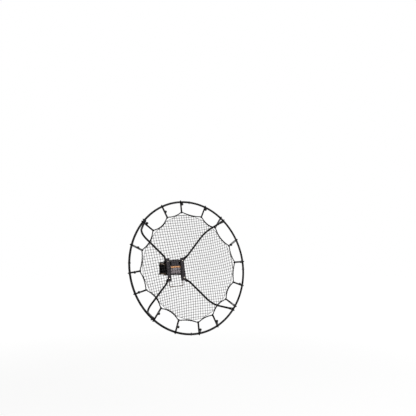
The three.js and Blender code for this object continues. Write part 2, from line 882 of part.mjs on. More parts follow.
function ringParts() {
  const group = new THREE.Group();
  const quarter = fullTurn / ringQuarters;
  for (let i = 0; i < ringQuarters; i++) {
    const seam = i * quarter;
    group.add(clocked(named("ring_quarter_" + (i + 1), ringQuarter(), "ringPaint"), seam));
    const screwAngle = seam + screwFromSeam / ringRadius;
    group.add(clocked(named("ring_screw_" + (i + 1), ringScrew(), "zinc"), screwAngle));
  }
  for (let i = 0; i < armCount; i++) {
    const angle = (i + 1 / 2) * (fullTurn / armCount);
    group.add(clocked(named("arm_" + (i + 1), arm(), "ringPaint"), angle));
    group.add(clocked(named("arm_ring_bolt_" + (i + 1), armRingBolt(), "zinc"), angle));
  }
  return group;
}

function hubBolts() {
  const group = new THREE.Group();
  [[1, 1], [1, -1], [-1, -1], [-1, 1]].forEach(([side, level], i) => {
    const bolt = named("arm_hub_bolt_" + (i + 1), hubBolt(), "zinc");
    const z = hubLevel + level * hubBoltOffset;
    bolt.position.set(side * hubBoltOffset, -stripForward - seatGap, z);
    bolt.rotation.x = -Math.PI / 2;
    group.add(bolt);
  });
  return group;
}

// Net, border cord and bungees, in the ring's frame

// Each bungee strays some degrees from its even place, as they were pushed along the ring.
function bungeeAngle(k) {
  const own = ((k % bungeeCount) + bungeeCount) % bungeeCount;
  return (k * fullTurn) / bungeeCount + THREE.MathUtils.degToRad(bungeeStray[own]);
}

// The border's corners lie further out near the seams of the ring than near its arms.
function cornerRadius(k) {
  return cornerMeanRadius + cornerSpread * Math.cos(armCount * bungeeAngle(k));
}

function cornerPoint(k) {
  const angle = bungeeAngle(k);
  return at(Math.sin(angle), 0, Math.cos(angle)).multiplyScalar(cornerRadius(k));
}

// The border's centre line: from corner to corner it sags towards the middle.
function borderPath() {
  const path = [];
  for (let k = 0; k < bungeeCount; k++) {
    const from = cornerPoint(k);
    const to = cornerPoint(k + 1);
    const middle = from.clone().add(to).multiplyScalar(1 / 2);
    const spanAngle = (bungeeAngle(k) + bungeeAngle(k + 1)) / 2;
    const sag = sagMean - sagSpread * Math.cos(armCount * spanAngle);
    const inwards = middle.clone().normalize().negate();
    for (let i = 0; i < spanSteps; i++) {
      const share = i / spanSteps;
      const depth = sag * 4 * share * (1 - share);
      path.push(from.clone().lerp(to, share).addScaledVector(inwards, depth));
    }
  }
  return path;
}

function border() {
  const radius = borderCord / 2;
  return skin(borderPath(), UNIT_Y, () => [radius, radius], wireSides, true);
}

// The border's line moved towards the middle by a distance, as an outline.
// At each corner it draws in further, which leaves room for the bungee round the cord.
function insetOutline(distance) {
  const path = borderPath();
  const count = path.length;
  const points = path.map((point, i) => {
    const into = point.clone().sub(path[(i + count - 1) % count]).normalize();
    const out = path[(i + 1) % count].clone().sub(point).normalize();
    const across = into.clone().add(out).normalize();
    const inwards = across.clone().cross(UNIT_Y).negate();
    const corner = i % spanSteps === 0 ? bungeeCord + cornerSlack + slideGap + seatGap : 0;
    const moved = point.clone().addScaledVector(inwards, distance / across.dot(into) + corner);
    return new THREE.Vector2(moved.x, moved.z);
  });
  return new THREE.Shape(points);
}

// The net as a real lattice: crossing strips inside a thin rim, all one piece.
function net() {
  const edge = (borderCord / 2) * Math.cos(Math.PI / wireSides) + seatGap;
  const front = at(0, netThickness / 2, 0);
  const whole = plate(insetOutline(edge), netThickness, UNIT_X, UNIT_Z, front);
  const deep = at(0, netThickness, 0);
  const inside = plate(insetOutline(edge + netRimWidth), 2 * netThickness, UNIT_X, UNIT_Z, deep);
  const rim = whole.subtract(inside);
  const reach = cornerMeanRadius + cornerSpread;
  const pitch = (2 * cornerMeanRadius) / netCellsAcross;
  const strips = [];
  for (let i = 0; i <= netCellsAcross; i++) {
    const offset = (i - netCellsAcross / 2) * pitch;
    const upright = new THREE.BoxGeometry(netBarWidth, netThickness, 2 * reach);
    const level = new THREE.BoxGeometry(2 * reach, netThickness, netBarWidth);
    strips.push(solid(upright.translate(offset, 0, 0)), solid(level.translate(0, 0, offset)));
  }
  const lattice = joined(strips).intersect(whole);
  const body = lattice.add(rim);
  console.log("net gaps " + body.genus());
  return body;
}

// A bungee: a closed loop round the ring tube and the border's corner, drawn into a ball.
function bungee(k) {
  const cord = bungeeCord / 2;
  const cordFlat = cord * Math.cos(Math.PI / loopSides);
  const outerSteps = tubeSides / 2;
  const innerSteps = wireSides / 2;
  const outer = (tubeFlat + seatGap + cordFlat) / Math.cos(Math.PI / tubeSides);
  const inner = (borderCord / 2 + seatGap + cordFlat) / Math.cos(Math.PI / wireSides);
  const ringSeat = ringPoint(bungeeAngle(k)).length();
  const cordSeat = cornerRadius(k) - cornerSlack;
  const path = [];
  for (let i = 0; i <= outerSteps; i++) {
    const angle = (Math.PI * i) / outerSteps;
    path.push(at(0, outer * Math.cos(angle), ringSeat + outer * Math.sin(angle)));
  }
  for (let i = 0; i <= innerSteps; i++) {
    const angle = (Math.PI * i) / innerSteps;
    path.push(at(0, -inner * Math.cos(angle), cordSeat - inner * Math.sin(angle)));
  }
  const loop = solid(skin(path, UNIT_X, () => [cord, cord], loopSides, true));
  const ball = new THREE.SphereGeometry(bungeeBall / 2, ballSides, ballSides - 1);
  return loop.add(solid(ball.translate(0, 0, ringRadius - ballFromRing[k])));
}

function netParts() {
  const group = new THREE.Group();
  group.add(named("net", net(), "netCord"));
  group.add(named("border_cord", border(), "cord"));
  for (let k = 0; k < bungeeCount; k++)
    group.add(clocked(named("bungee_" + (k + 1), bungee(k), "cord"), bungeeAngle(k)));
  return group;
}

// Assembly

function tiltingParts() {
  const yoke = new THREE.Group();
  yoke.position.set(0, -pivotForward, pivotRise);
  yoke.rotation.x = -restTilt;
  const right = geometryOf(sideBracket());
  const left = geometryOf(sideBracket().mirror([1, 0, 0]));
  yoke.add(named("side_bracket_right", right, "blackSteel"));
  yoke.add(named("side_bracket_left", left, "blackSteel"));
  yoke.add(named("yoke_web", yokeWeb(), "blackSteel"));
  yoke.add(named("release_bail", releaseBail(), "wire"));
  for (const [side, word] of [[-1, "left"], [1, "right"]]) {
    const spring = named("latch_spring_" + word, latchSpring(side), "zinc");
    spring.position.x = side * springX;
    yoke.add(spring);
  }
  yoke.add(hubBolts());
  const ring = new THREE.Group();
  ring.position.set(0, -ringForward, hubLevel);
  ring.add(ringParts(), netParts());
  yoke.add(ring);
  return yoke;
}

const rebounder = new THREE.Group();
rebounder.add(named("front_clamp", frontClamp(), "blackClamp"));
rebounder.add(named("rear_clamp", rearClamp(), "blackClamp"));
rebounder.add(clampFixings(), pivotFixings(), tiltingParts());

export default rebounder;
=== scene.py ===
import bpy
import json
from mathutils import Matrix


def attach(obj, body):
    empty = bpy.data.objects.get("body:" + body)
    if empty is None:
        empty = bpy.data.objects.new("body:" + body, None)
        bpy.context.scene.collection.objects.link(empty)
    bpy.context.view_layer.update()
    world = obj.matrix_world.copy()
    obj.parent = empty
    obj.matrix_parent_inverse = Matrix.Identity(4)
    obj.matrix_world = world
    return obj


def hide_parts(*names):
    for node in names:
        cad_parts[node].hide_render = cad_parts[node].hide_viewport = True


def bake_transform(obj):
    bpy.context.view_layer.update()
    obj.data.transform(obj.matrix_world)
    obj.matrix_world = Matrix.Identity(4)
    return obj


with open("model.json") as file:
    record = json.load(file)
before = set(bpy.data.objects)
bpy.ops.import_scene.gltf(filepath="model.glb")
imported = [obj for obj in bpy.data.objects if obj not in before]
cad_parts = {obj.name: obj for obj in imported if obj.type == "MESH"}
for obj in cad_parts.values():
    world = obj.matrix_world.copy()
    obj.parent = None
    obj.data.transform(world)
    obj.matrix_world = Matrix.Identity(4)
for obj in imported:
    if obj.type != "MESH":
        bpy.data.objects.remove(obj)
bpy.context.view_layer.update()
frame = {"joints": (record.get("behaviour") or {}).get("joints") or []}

# %% [markdown]
# The surfaces are worked out with numpy, which handles a whole grid of points at once. Blender's
# own mesh tools then merge, fill or cut what a formula can't.
# %% Tools of the lesson
import json
import math

import bmesh
import bpy
import numpy as np
from mathutils import Matrix, Vector

MM = 0.001
FULL_TURN = 2 * math.pi
SIDES = (("left", -1), ("right", 1))
print("numpy", np.__version__, "in Blender", bpy.app.version_string)

# %% [markdown]
# ## Places
#
# The clamp is drawn in the object's own directions. The yoke tilts on the clamp, so its pieces
# are drawn upright about the pivot and then tilted. The ring's pieces are drawn about the ring's
# axis, with a clock angle that starts at the top. Each such place is one matrix.
# %% Matrices for the yoke and the ring


def shifted(x, y, z):
    """A move by x, y and z as a four by four matrix."""
    matrix = np.eye(4)
    matrix[:3, 3] = x, y, z
    return matrix


def turned(axis, angle):
    """A turn about one axis through the origin as a four by four matrix."""
    return np.array(Matrix.Rotation(angle, 4, axis))


def clocked(angle):
    """The ring's place turned so that what is drawn at the top comes to a clock angle."""
    return RING @ turned("Y", angle)


REST_TILT = math.radians(10.75)
RING_FORWARD = 283
RING_DROP = 81

tilt_joint = next(joint for joint in frame["joints"] if joint["type"] == "hinge")
pivot = np.array(tilt_joint["pos_m"]) / MM
OBJECT = np.eye(4)
YOKE = shifted(*pivot) @ turned("X", -REST_TILT)
RING = YOKE @ shifted(0, -RING_FORWARD, -RING_DROP)
print("ring centre at", (RING[:3, 3] * MM).round(4))

# %% [markdown]
# ## Camera
#
# The photograph was taken from the left of the net's front, a little above the ring. The lens,
# the place and the turn below were solved from the outlines in it. A camera moved by eye comes
# near, but then no piece can be compared with the picture to a pixel.
# %% Camera

CAMERA_LENS = 43.49
CAMERA_SENSOR = 36
CAMERA_PLACE = (-2.3885, -4.2428, 0.4123)
CAMERA_TURN = (92.05, 0, -33.347)

camera_data = bpy.data.cameras.new("camera")
camera_data.lens = CAMERA_LENS
camera_data.sensor_width = CAMERA_SENSOR
camera = bpy.data.objects.new("camera", camera_data)
camera.location = CAMERA_PLACE
camera.rotation_euler = [math.radians(angle) for angle in CAMERA_TURN]
bpy.context.scene.collection.objects.link(camera)
bpy.context.scene.camera = camera
print("camera at", CAMERA_PLACE)

# %% [markdown]
# ## Surfaces from formulas
#
# Every new piece is a grid of points worked out in whole arrays, or a few such grids together.
# A shell here is three things: the points, the faces and the place of each face corner on the
# material, in millimetres, so that a thread or a braid keeps its real scale along a cord.
# %% Grids and shells


def shell_of(grid, along, around, wrap_rows=False):
    """A shell from a grid of points: each face joins a point, the next one around, and the two ahead.

    The last column is joined to the first, and the last row too where the rows wrap. along and
    around give each row's and each column's distance on the surface in millimetres, with one
    entry more than the grid where it wraps.
    """
    rows, columns = grid.shape[:2]
    row = np.arange(rows if wrap_rows else rows - 1)[:, None]
    column = np.arange(columns)[None, :]
    corners = [(row, column), (row, column + 1), (row + 1, column + 1), (row + 1, column)]
    faces = np.stack([(r % rows) * columns + c % columns for r, c in corners], axis=-1)
    places = [np.stack(np.broadcast_arrays(along[r], around[c]), axis=-1) for r, c in corners]
    return grid.reshape(-1, 3), faces.reshape(-1, 4).tolist(), np.stack(places, axis=-2).reshape(-1, 2)


def together(shells):
    """Several shells as one, each one's faces counted on from the points before it."""
    starts = np.cumsum([0] + [len(points) for points, _, _ in shells[:-1]])
    points = np.concatenate([points for points, _, _ in shells])
    faces = [[int(start) + i for i in face] for (_, some, _), start in zip(shells, starts) for face in some]
    places = np.concatenate([places for _, _, places in shells])
    return points, faces, places


def moved(shell, matrix):
    """A shell after a matrix: each point is multiplied by its three by three part, then shifted."""
    points, faces, places = shell
    return points @ matrix[:3, :3].T + matrix[:3, 3], faces, places


def mirrored(shell):
    """A shell reflected left to right, with its faces turned so that they still point outwards."""
    points, faces, places = shell
    sizes = [len(face) for face in faces]
    ends = np.cumsum(sizes)
    order = np.concatenate([np.arange(end - 1, end - size - 1, -1) for size, end in zip(sizes, ends)])
    return points * (-1, 1, 1), [face[::-1] for face in faces], places[order]


def add_piece(name, shell, material, body, replaces=None, matrix=OBJECT, crease=30):
    """Makes one object from a shell: metres, merged points, smooth faces up to the crease angle."""
    points, faces, places = moved(shell, matrix)
    mesh = bpy.data.meshes.new(name)
    mesh.from_pydata((points * MM).tolist(), [], faces)
    mesh.uv_layers.new(name="surface").data.foreach_set("uv", places.astype(np.float32).ravel())
    built = bmesh.new()
    built.from_mesh(mesh)
    bmesh.ops.remove_doubles(built, verts=built.verts, dist=1e-6)
    built.to_mesh(mesh)
    built.free()
    mesh.polygons.foreach_set("use_smooth", np.ones(len(mesh.polygons), dtype=bool))
    mesh.set_sharp_from_angle(angle=math.radians(crease))
    for one in material if isinstance(material, list) else [material]:
        mesh.materials.append(one)
    piece = bpy.data.objects.new(name, mesh)
    bpy.context.scene.collection.objects.link(piece)
    if body:
        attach(piece, body)
    if replaces:
        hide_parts(replaces)
    return piece


patch = shell_of(np.zeros((3, 4, 3)), np.arange(3), np.arange(5))
print("a grid of 3 by 4 points that wraps round has", len(patch[1]), "faces")

# %% [markdown]
# A tube is a section carried along a path. Each point of the path gets a ring of points in the
# plane square to the path, so a bend keeps its round section. A curve object with a bevel would
# do for an even cord, but not for a tube that is pressed flat at its ends.
# %% Tubes


def eased(share):
    """A share from nought to one that starts and ends gently: 3 times its square less twice its cube."""
    return share * share * (3 - 2 * share)


def round_tip(share, least=0.0):
    """The half width at a share of a round tip's length: the root of 1 less the square of 1 - share."""
    return np.sqrt(np.clip(1 - (1 - share) ** 2, least, 1))


def headings(path, loop=False):
    """Unit steps along a path: from the point before to the point after, scaled to one."""
    if loop:
        steps = np.roll(path, -1, axis=0) - np.roll(path, 1, axis=0)
    else:
        steps = np.gradient(path, axis=0)
    return steps / np.linalg.norm(steps, axis=1, keepdims=True)


def lengths(path, loop=False):
    """The distance along a path at each of its points, with one more entry where it is a loop."""
    ends = np.vstack([path, path[:1]]) if loop else path
    return np.concatenate([[0], np.cumsum(np.linalg.norm(np.diff(ends, axis=0), axis=1))])


def at_lengths(path, along, places):
    """Points at given distances on a path, each on the straight run between the path's own points."""
    return np.stack([np.interp(places, along, column) for column in path.T], axis=-1)


def tube(path, binormal, half_widths, sides, loop=False, tangents=None, corners=2.0):
    """A tube round a path: path + normal * a * cos(t) + binormal * b * sin(t) at each point.

    half_widths holds a and b per point. A corners value over 2 squares the section: the sine and
    the cosine keep their sign and their size goes to the power 2 / corners.
    """
    count = len(path)
    tangents = headings(path, loop) if tangents is None else tangents
    binormals = np.broadcast_to(np.asarray(binormal, float), (count, 3))
    binormals = binormals - tangents * (binormals * tangents).sum(axis=1, keepdims=True)
    binormals = binormals / np.linalg.norm(binormals, axis=1, keepdims=True)
    normals = np.cross(binormals, tangents)
    widths = np.asarray(half_widths, float)
    widths = np.broadcast_to(widths if widths.ndim == 2 else widths.reshape(-1, 1), (count, 2))
    angles = (np.arange(sides) + 0.5) / sides * FULL_TURN
    power = (2 / np.broadcast_to(corners, (count,)))[:, None]
    cosines = np.sign(np.cos(angles)) * np.abs(np.cos(angles)) ** power
    sines = np.sign(np.sin(angles)) * np.abs(np.sin(angles)) ** power
    grid = (
        path[:, None, :]
        + normals[:, None, :] * (widths[:, :1] * cosines)[:, :, None]
        + binormals[:, None, :] * (widths[:, 1:] * sines)[:, :, None]
    )
    around = np.arange(sides + 1) / sides * FULL_TURN * widths.max()
    points, faces, places = shell_of(grid, lengths(path, loop), around, wrap_rows=loop)
    if loop:
        return points, faces, places
    caps = [list(range(sides))[::-1], [(count - 1) * sides + i for i in range(sides)]]
    return points, faces + caps, np.concatenate([places, np.zeros((2 * sides, 2))])


rod = tube(np.array([[0.0, 0, 0], [0, 0, 10]]), (0, 1, 0), 1, 6)
print("a straight rod of six sides has", len(rod[1]), "faces")

# %% [markdown]
# A bent tube or wire is drawn as its corners with the radius of each bend, the way a bending
# drawing gives it, and is then filled with points. The handles of a Bezier curve would not hold a
# radius. Here each corner is an arc that leaves its straight runs where a real bend does.
# %% Bent paths


def round_bend(before, corner, after, radius, step=2.0, count=None):
    """The arc that rounds one corner, a point at least every step or in a given count of parts.

    A bend that turns by an angle t leaves its corner by radius * tan(t / 2) on both sides.
    """
    before, corner, after = (np.asarray(point, float) for point in (before, corner, after))
    back = (before - corner) / np.linalg.norm(before - corner)
    ahead = (after - corner) / np.linalg.norm(after - corner)
    half = math.acos(np.clip(back @ ahead, -1, 1)) / 2
    sweep = math.pi - 2 * half
    count = count or max(4, int(sweep * radius / step) + 1, int(sweep / math.radians(8)))
    spread = np.linspace(-sweep / 2, sweep / 2, count + 1)[:, None]
    middle = (back + ahead) / np.linalg.norm(back + ahead)
    side = (ahead - back) / np.linalg.norm(ahead - back)
    centre = corner + middle * radius / math.sin(half)
    return centre - middle * radius * np.cos(spread) + side * radius * np.sin(spread)


def bent_path(corners, step=2.0):
    """A path through corners given as (point, bend radius): straight runs joined by round bends."""
    points, radii = zip(*corners)
    bends = [round_bend(*points[i - 1 : i + 2], radii[i], step) for i in range(1, len(points) - 1)]
    return np.concatenate([[points[0]], *bends, [points[-1]]])


def with_tips(path, tips):
    """The same path with more points near both ends, at the distances in tips, and their lengths."""
    along = lengths(path)
    places = np.unique(np.concatenate([along, tips, along[-1] - tips]).round(4))
    return at_lengths(path, along, places), places


def evenly(path, step):
    """The same path with a point at least every step, each on a straight run between two old ones."""
    along = lengths(path)
    extra = [np.linspace(a, b, max(2, int((b - a) / step) + 1))[:-1] for a, b in zip(along[:-1], along[1:])]
    return at_lengths(path, along, np.append(np.concatenate(extra), along[-1]))


elbow = bent_path([((0, 0, 0), 0), ((50, 0, 0), 10), ((50, 50, 0), 0)])
print("two legs of 50 mm with a bend of 10 mm measure", round(lengths(elbow)[-1], 1), "mm")

# %% [markdown]
# Brackets and clamp plates are cut flat from sheet steel, drilled and then bent. They could be
# boxes with holes cut by booleans, but the bends would lack their inner radius. So the same is
# done here as in the workshop: first an outline with its holes is filled in the flat, and cut
# across where the sheet will bend.
# %% Flat blanks

BORE_GAP = 0.45


def arc(centre, radius, start, end, count):
    """Points on an arc in the flat: the centre plus the radius times the cosine and sine."""
    angles = np.linspace(start, end, count)
    return np.asarray(centre, float) + radius * np.stack([np.cos(angles), np.sin(angles)], axis=-1)


def hole(u, v, diameter):
    """A drilled hole's outline, wider than its bolt by a small gap."""
    return arc((u, v), diameter / 2 + BORE_GAP, 0, FULL_TURN, 25)[:-1]


def rounded(corners, count=6):
    """An outline through corners given as (u, v, radius), with each corner as a round arc."""
    places = [corner[:2] for corner in corners]
    around = zip([places[-1], *places], places, [*places[1:], places[0]], corners)
    return np.concatenate([round_bend(*spots, corner[2], count=count) for *spots, corner in around])


def rounded_box(left, right, foot, top, radius, count=6):
    """The outline of an upright rectangle with round corners."""
    corners = [(left, foot, radius), (right, foot, radius), (right, top, radius), (left, top, radius)]
    return rounded(corners, count)


def closed_edges(count, start):
    """Edges that join each of so many points to the next one and the last to the first."""
    order = np.arange(count)
    return np.stack([start + order, start + (order + 1) % count], axis=-1)


def filled(outline, holes, cuts):
    """The flat faces inside an outline and outside its holes, cut across at each u in cuts.

    The third result is the faces' open sides: those that no other face runs along the other way.
    """
    rings = [outline, *holes]
    counts = [len(ring) for ring in rings]
    edges = [closed_edges(count, start) for count, start in zip(counts, np.cumsum([0, *counts]))]
    mesh = bpy.data.meshes.new("blank")
    level = np.column_stack([np.concatenate(rings), np.zeros(sum(counts))])
    mesh.from_pydata(level.tolist(), np.concatenate(edges).tolist(), [])
    flat = bmesh.new()
    flat.from_mesh(mesh)
    bmesh.ops.triangle_fill(flat, use_beauty=True, edges=flat.edges[:], normal=(0, 0, 1))
    bmesh.ops.recalc_face_normals(flat, faces=flat.faces[:])
    for u in cuts:
        everything = flat.verts[:] + flat.edges[:] + flat.faces[:]
        bmesh.ops.bisect_plane(flat, geom=everything, dist=1e-5, plane_co=(u, 0, 0), plane_no=(1, 0, 0))
    if sum(face.normal.z for face in flat.faces) < 0:
        bmesh.ops.reverse_faces(flat, faces=flat.faces[:])
    flat.to_mesh(mesh)
    flat.free()
    points = np.empty((len(mesh.vertices), 3), np.float32)
    mesh.vertices.foreach_get("co", points.ravel())
    faces = [list(face.vertices) for face in mesh.polygons]
    bpy.data.meshes.remove(mesh)
    sides = [side for face in faces for side in zip(face, face[1:] + face[:1])]
    known = set(sides)
    return points[:, :2].astype(float), faces, [side for side in sides if side[::-1] not in known]


washer = filled(hole(0, 0, 16), [hole(0, 0, 8)], [])
print("a drilled disc has", len(washer[0]), "points and", len(washer[2]), "edges along its outline and hole")

# %% [markdown]
# The blank is then carried onto the bent section, once for each face of the sheet, and a wall
# closes it along every cut edge. The sheet keeps its thickness round the bend, as steel does.
# %% Bent sheets


def sheet_shell(outline, holes, section, thickness, width_axis):
    """A bent sheet: the flat point (u, v) goes to section(u) + width_axis * v, half a sheet each way.

    section is the path of the sheet's middle, and u runs along it from its first point.
    """
    along = lengths(section)
    points, faces, edges = filled(outline, holes, along[1:-1])
    run = at_lengths(headings(section), along, points[:, 0])
    run /= np.linalg.norm(run, axis=1, keepdims=True)
    width_axis = np.array(width_axis, float)
    half_sheet = np.cross(run, width_axis) * thickness / 2
    middle = at_lengths(section, along, points[:, 0]) + points[:, 1:] * width_axis
    count = len(points)
    walls = [[b, a, a + count, b + count] for a, b in edges]
    behind = [[i + count for i in face[::-1]] for face in faces]
    every = faces + behind + walls
    corners = np.array([i for face in every for i in face])
    return np.concatenate([middle + half_sheet, middle - half_sheet]), every, points[corners % count]


def flat_sheet(outline, holes, thickness, middle, along_u):
    """An upright flat plate: the point (u, v) goes to middle + along_u * u, and v further up."""
    ends = np.array([outline[:, 0].min(), outline[:, 0].max()])
    section = np.array(middle, float) + ends[:, None] * np.array(along_u, float)
    start = np.array([ends[0], 0.0])
    return sheet_shell(outline - start, [opening - start for opening in holes], section, thickness, (0, 0, 1))


plate = flat_sheet(rounded_box(0, 40, 0, 20, 5), [], 3, (0, 0, 0), (1, 0, 0))
print("a plate 40 by 20 mm spans", np.ptp(plate[0], axis=0).round(2), "mm")

# %% [markdown]
# ## Finishes
#
# Colours are written as they look on a screen and turned to the linear values that a shader
# uses. One small function adds a shader node with its settings and its links, and every finish
# below is built from it. A value that is the same all over a surface goes straight on the
# shader's own socket.
# %% Colour and node helpers


def linear(colour):
    """A screen colour such as 808080 as linear values: c / 12.92 near black, else a 2.4 power."""
    values = [int(colour[i : i + 2], 16) / 255 for i in (0, 2, 4)]
    curve = [c / 12.92 if c <= 0.04045 else ((c + 0.055) / 1.055) ** 2.4 for c in values]
    return (*curve, 1.0)


def set_inputs(tree, node, inputs):
    """Sets a node's inputs, each one to a value or by a link from another node's output."""
    for key, value in inputs.items():
        if isinstance(value, bpy.types.NodeSocket):
            tree.links.new(value, node.inputs[key])
        else:
            node.inputs[key].default_value = value


def add_node(tree, kind, inputs=None, **settings):
    """Adds one shader node with its settings and inputs, and gives back its outputs."""
    node = tree.nodes.new("ShaderNode" + kind)
    for name, value in settings.items():
        setattr(node, name, value)
    set_inputs(tree, node, inputs or {})
    return node.outputs


def start_finish(name):
    """A new material, its node tree and its main shader."""
    material = bpy.data.materials.new(name)
    material.use_nodes = True
    return material, material.node_tree, material.node_tree.nodes["Principled BSDF"]


print("the screen grey 808080 is", round(linear("808080")[0], 3), "in linear light")

# %% [markdown]
# Powder coat is a plastic skin baked onto steel. It lies in a faint orange-peel of about a millimetre and a
# half, its gloss is even but for slightly duller patches, and dust and scuffs lighten it a little. On an edge
# the coat is thinner and rubbed smoother, and its lighter colour there is a painted highlight where the edges
# catch the light.
# %% Powder coat

YOKE_EDGE = 0.5
CLAMP_EDGE = 0.6
PEEL_SIZE = 1.6
PEEL_HEIGHT = 0.15
PATCH_SIZE = 60
SPECK_SIZE = 0.9


def powder_coat(name, base, scuffed, roughness, specular, peel=0.12):
    """Satin powder coat: noise at the peel's size lifts the surface, patches change gloss and colour."""
    material, tree, shader = start_finish(name)
    spot = add_node(tree, "TexCoord")["Object"]
    patches, specks, grain = (
        add_node(tree, "TexNoise", {"Vector": spot, "Scale": 1 / (size * MM), "Detail": detail})["Fac"]
        for size, detail in ((PATCH_SIZE, 5.0), (SPECK_SIZE, 2.0), (PEEL_SIZE, 1.5))
    )
    duller = {"Value": patches, "From Min": 0.42, "From Max": 0.72}
    scuff = add_node(tree, "MapRange", duller, interpolation_type="SMOOTHSTEP")
    dust = add_node(tree, "MapRange", {"Value": specks, "From Min": 0.3, "From Max": 0.8, "To Min": 0.35})
    share = add_node(tree, "Math", {0: scuff["Result"], 1: dust["Result"]}, operation="MULTIPLY")
    colour = add_node(tree, "Mix", {0: share[0], 6: linear(base), 7: linear(scuffed)}, data_type="RGBA")
    shine = {"From Min": 0.3, "From Max": 0.7, "To Min": roughness - 0.05, "To Max": roughness + 0.08}
    gloss = add_node(tree, "MapRange", {"Value": patches, **shine})
    bump = add_node(tree, "Bump", {"Height": grain, "Strength": peel, "Distance": PEEL_HEIGHT * MM})
    links = {"Base Color": colour[2], "Roughness": gloss["Result"], "Normal": bump["Normal"]}
    set_inputs(tree, shader, {"Metallic": 0, "Specular IOR Level": specular, **links})
    return material


ring_coat = powder_coat("frame_powder_coat", "0e0d0e", "191718", 0.44, 0.1)
# The yoke has the same black coat as the ring, the arms and the clamp. Its lighter grey is painted light for
# its lit front faces.
yoke_coat_painted_light = powder_coat("yoke_powder_coat_painted_light", "342f34", "3f3a3f", 0.48, 0.16)
clamp_coat = powder_coat("clamp_powder_coat", "090809", "131112", 0.5, 0.1)
# The edge finishes are lighter than their coats: a painted highlight on the rounded edges.
yoke_edge_highlight = powder_coat("yoke_powder_coat_edge_highlight", "4a4449", "5a5357", 0.38, 0.22, 0.05)
clamp_edge_highlight = powder_coat("clamp_powder_coat_edge_highlight", "1f1d1e", "2e2b2b", 0.4, 0.16, 0.05)
COATED = {
    "yoke": ([yoke_coat_painted_light, yoke_edge_highlight], "net_yoke", "yoke_black", YOKE, YOKE_EDGE),
    "clamp": ([clamp_coat, clamp_edge_highlight], "pole_clamp", "clamp_black", OBJECT, CLAMP_EDGE),
}


def add_steel(name, shell, kind, node):
    """Adds a coated sheet. A two-step bevel in the edge's finish rounds every sharp edge of it."""
    finishes, body, slot, matrix, width = COATED[kind]
    bevel = add_piece(name, shell, finishes, body, node, matrix).modifiers.new("edge", "BEVEL")
    bevel.width = width * MM
    bevel.segments = 2
    bevel.limit_method = "ANGLE"
    bevel.angle_limit = math.radians(40)
    # The bevel takes the edge finish, whose lighter colour is a painted highlight.
    bevel.material = 1


print("powder coats made for", " and ".join(COATED))

# %% [markdown]
# Bolts and nuts are zinc plated. Fresh zinc is bright, and outdoors it soon goes cloudy, with paler bloom in
# patches of a few millimetres and a faint warm tint. The bail is drawn wire with the same plating gone
# yellow, and it keeps fine lines along its length from the drawing die. The arms' hub bolts are blackened.
# The ring bolts and the seam screws are zinc painted a darker grey blue, which is painted shade. Each head of
# the hub bolts and the ring bolts has a painted highlight: a bright spot on its crown.
# %% Zinc plating

BLOOM_SIZE = 5
GRAIN_SIZE = 0.7
GRAIN_HEIGHT = 0.06
DRAW_LINE = 0.5
DRAW_LENGTH = 40
CROWN_HIGHLIGHT = 5.5


def zinc_plate(name, bright, cloudy, roughness, lines=False, crown=None):
    """Plated steel: bloom patches mix two tints and two roughnesses, and drawn wire has long lines.

    crown is the colour of a painted highlight at the start of a turned piece, where its row distance is
    least.
    """
    material, tree, shader = start_finish(name)
    surface = add_node(tree, "TexCoord")
    patches = {"Vector": surface["Object"], "Scale": 1 / (BLOOM_SIZE * MM), "Detail": 6.0, "Roughness": 0.65}
    bloom = add_node(tree, "TexNoise", patches)["Fac"]
    if lines:
        drawn = {"Vector": surface["UV"], "Scale": (1 / DRAW_LENGTH, 1 / DRAW_LINE, 1)}
        along = add_node(tree, "Mapping", drawn)
        height = add_node(tree, "TexNoise", {"Vector": along["Vector"], "Scale": 1.0, "Detail": 3.0})["Fac"]
    else:
        grain = {"Vector": surface["Object"], "Scale": 1 / (GRAIN_SIZE * MM), "Detail": 2.0}
        height = add_node(tree, "TexNoise", grain)["Fac"]
    cloudier = {"Value": bloom, "From Min": 0.38, "From Max": 0.66}
    share = add_node(tree, "MapRange", cloudier, interpolation_type="SMOOTHSTEP")["Result"]
    colour = add_node(tree, "Mix", {0: share, 6: linear(bright), 7: linear(cloudy)}, data_type="RGBA")
    # The crown's bright spot is a painted highlight that fades out over its last millimetres.
    if crown:
        distance = add_node(tree, "SeparateXYZ", {0: surface["UV"]})["X"]
        highlight_fade = {"From Min": 0.6 * CROWN_HIGHLIGHT, "From Max": CROWN_HIGHLIGHT, "To Min": 1.0, "To Max": 0.0}
        highlight_share = add_node(tree, "MapRange", {"Value": distance, **highlight_fade}, interpolation_type="SMOOTHSTEP")
        shares = {0: highlight_share["Result"], 6: colour[2], 7: linear(crown)}
        colour = add_node(tree, "Mix", shares, data_type="RGBA")
    gloss = add_node(tree, "MapRange", {"Value": share, "To Min": roughness, "To Max": roughness + 0.22})
    bump = add_node(tree, "Bump", {"Height": height, "Strength": 0.25, "Distance": GRAIN_HEIGHT * MM})
    links = {"Base Color": colour[2], "Roughness": gloss["Result"], "Normal": bump["Normal"]}
    set_inputs(tree, shader, {"Metallic": 1.0, **links})
    return material


zinc = zinc_plate("zinc_plated_steel", "b4b1ab", "96918a", 0.28)
clamp_zinc = zinc_plate("yellow_zinc_plated_steel", "7a6855", "5f5040", 0.34)
bail_finish = zinc_plate("yellowed_zinc_wire", "6a5e55", "574c45", 0.36, lines=True)
spring_finish = zinc_plate("spring_wire", "a9a6a0", "8c8781", 0.3)
# The crown colour given to the hub and ring bolts is a painted highlight.
hub_bolt_finish = zinc_plate("blackened_bolt", "464144", "383436", 0.34, crown="cfc9bb")
strip_bolt_finish = zinc_plate("blackened_small_bolt", "4a4547", "3b3739", 0.36)
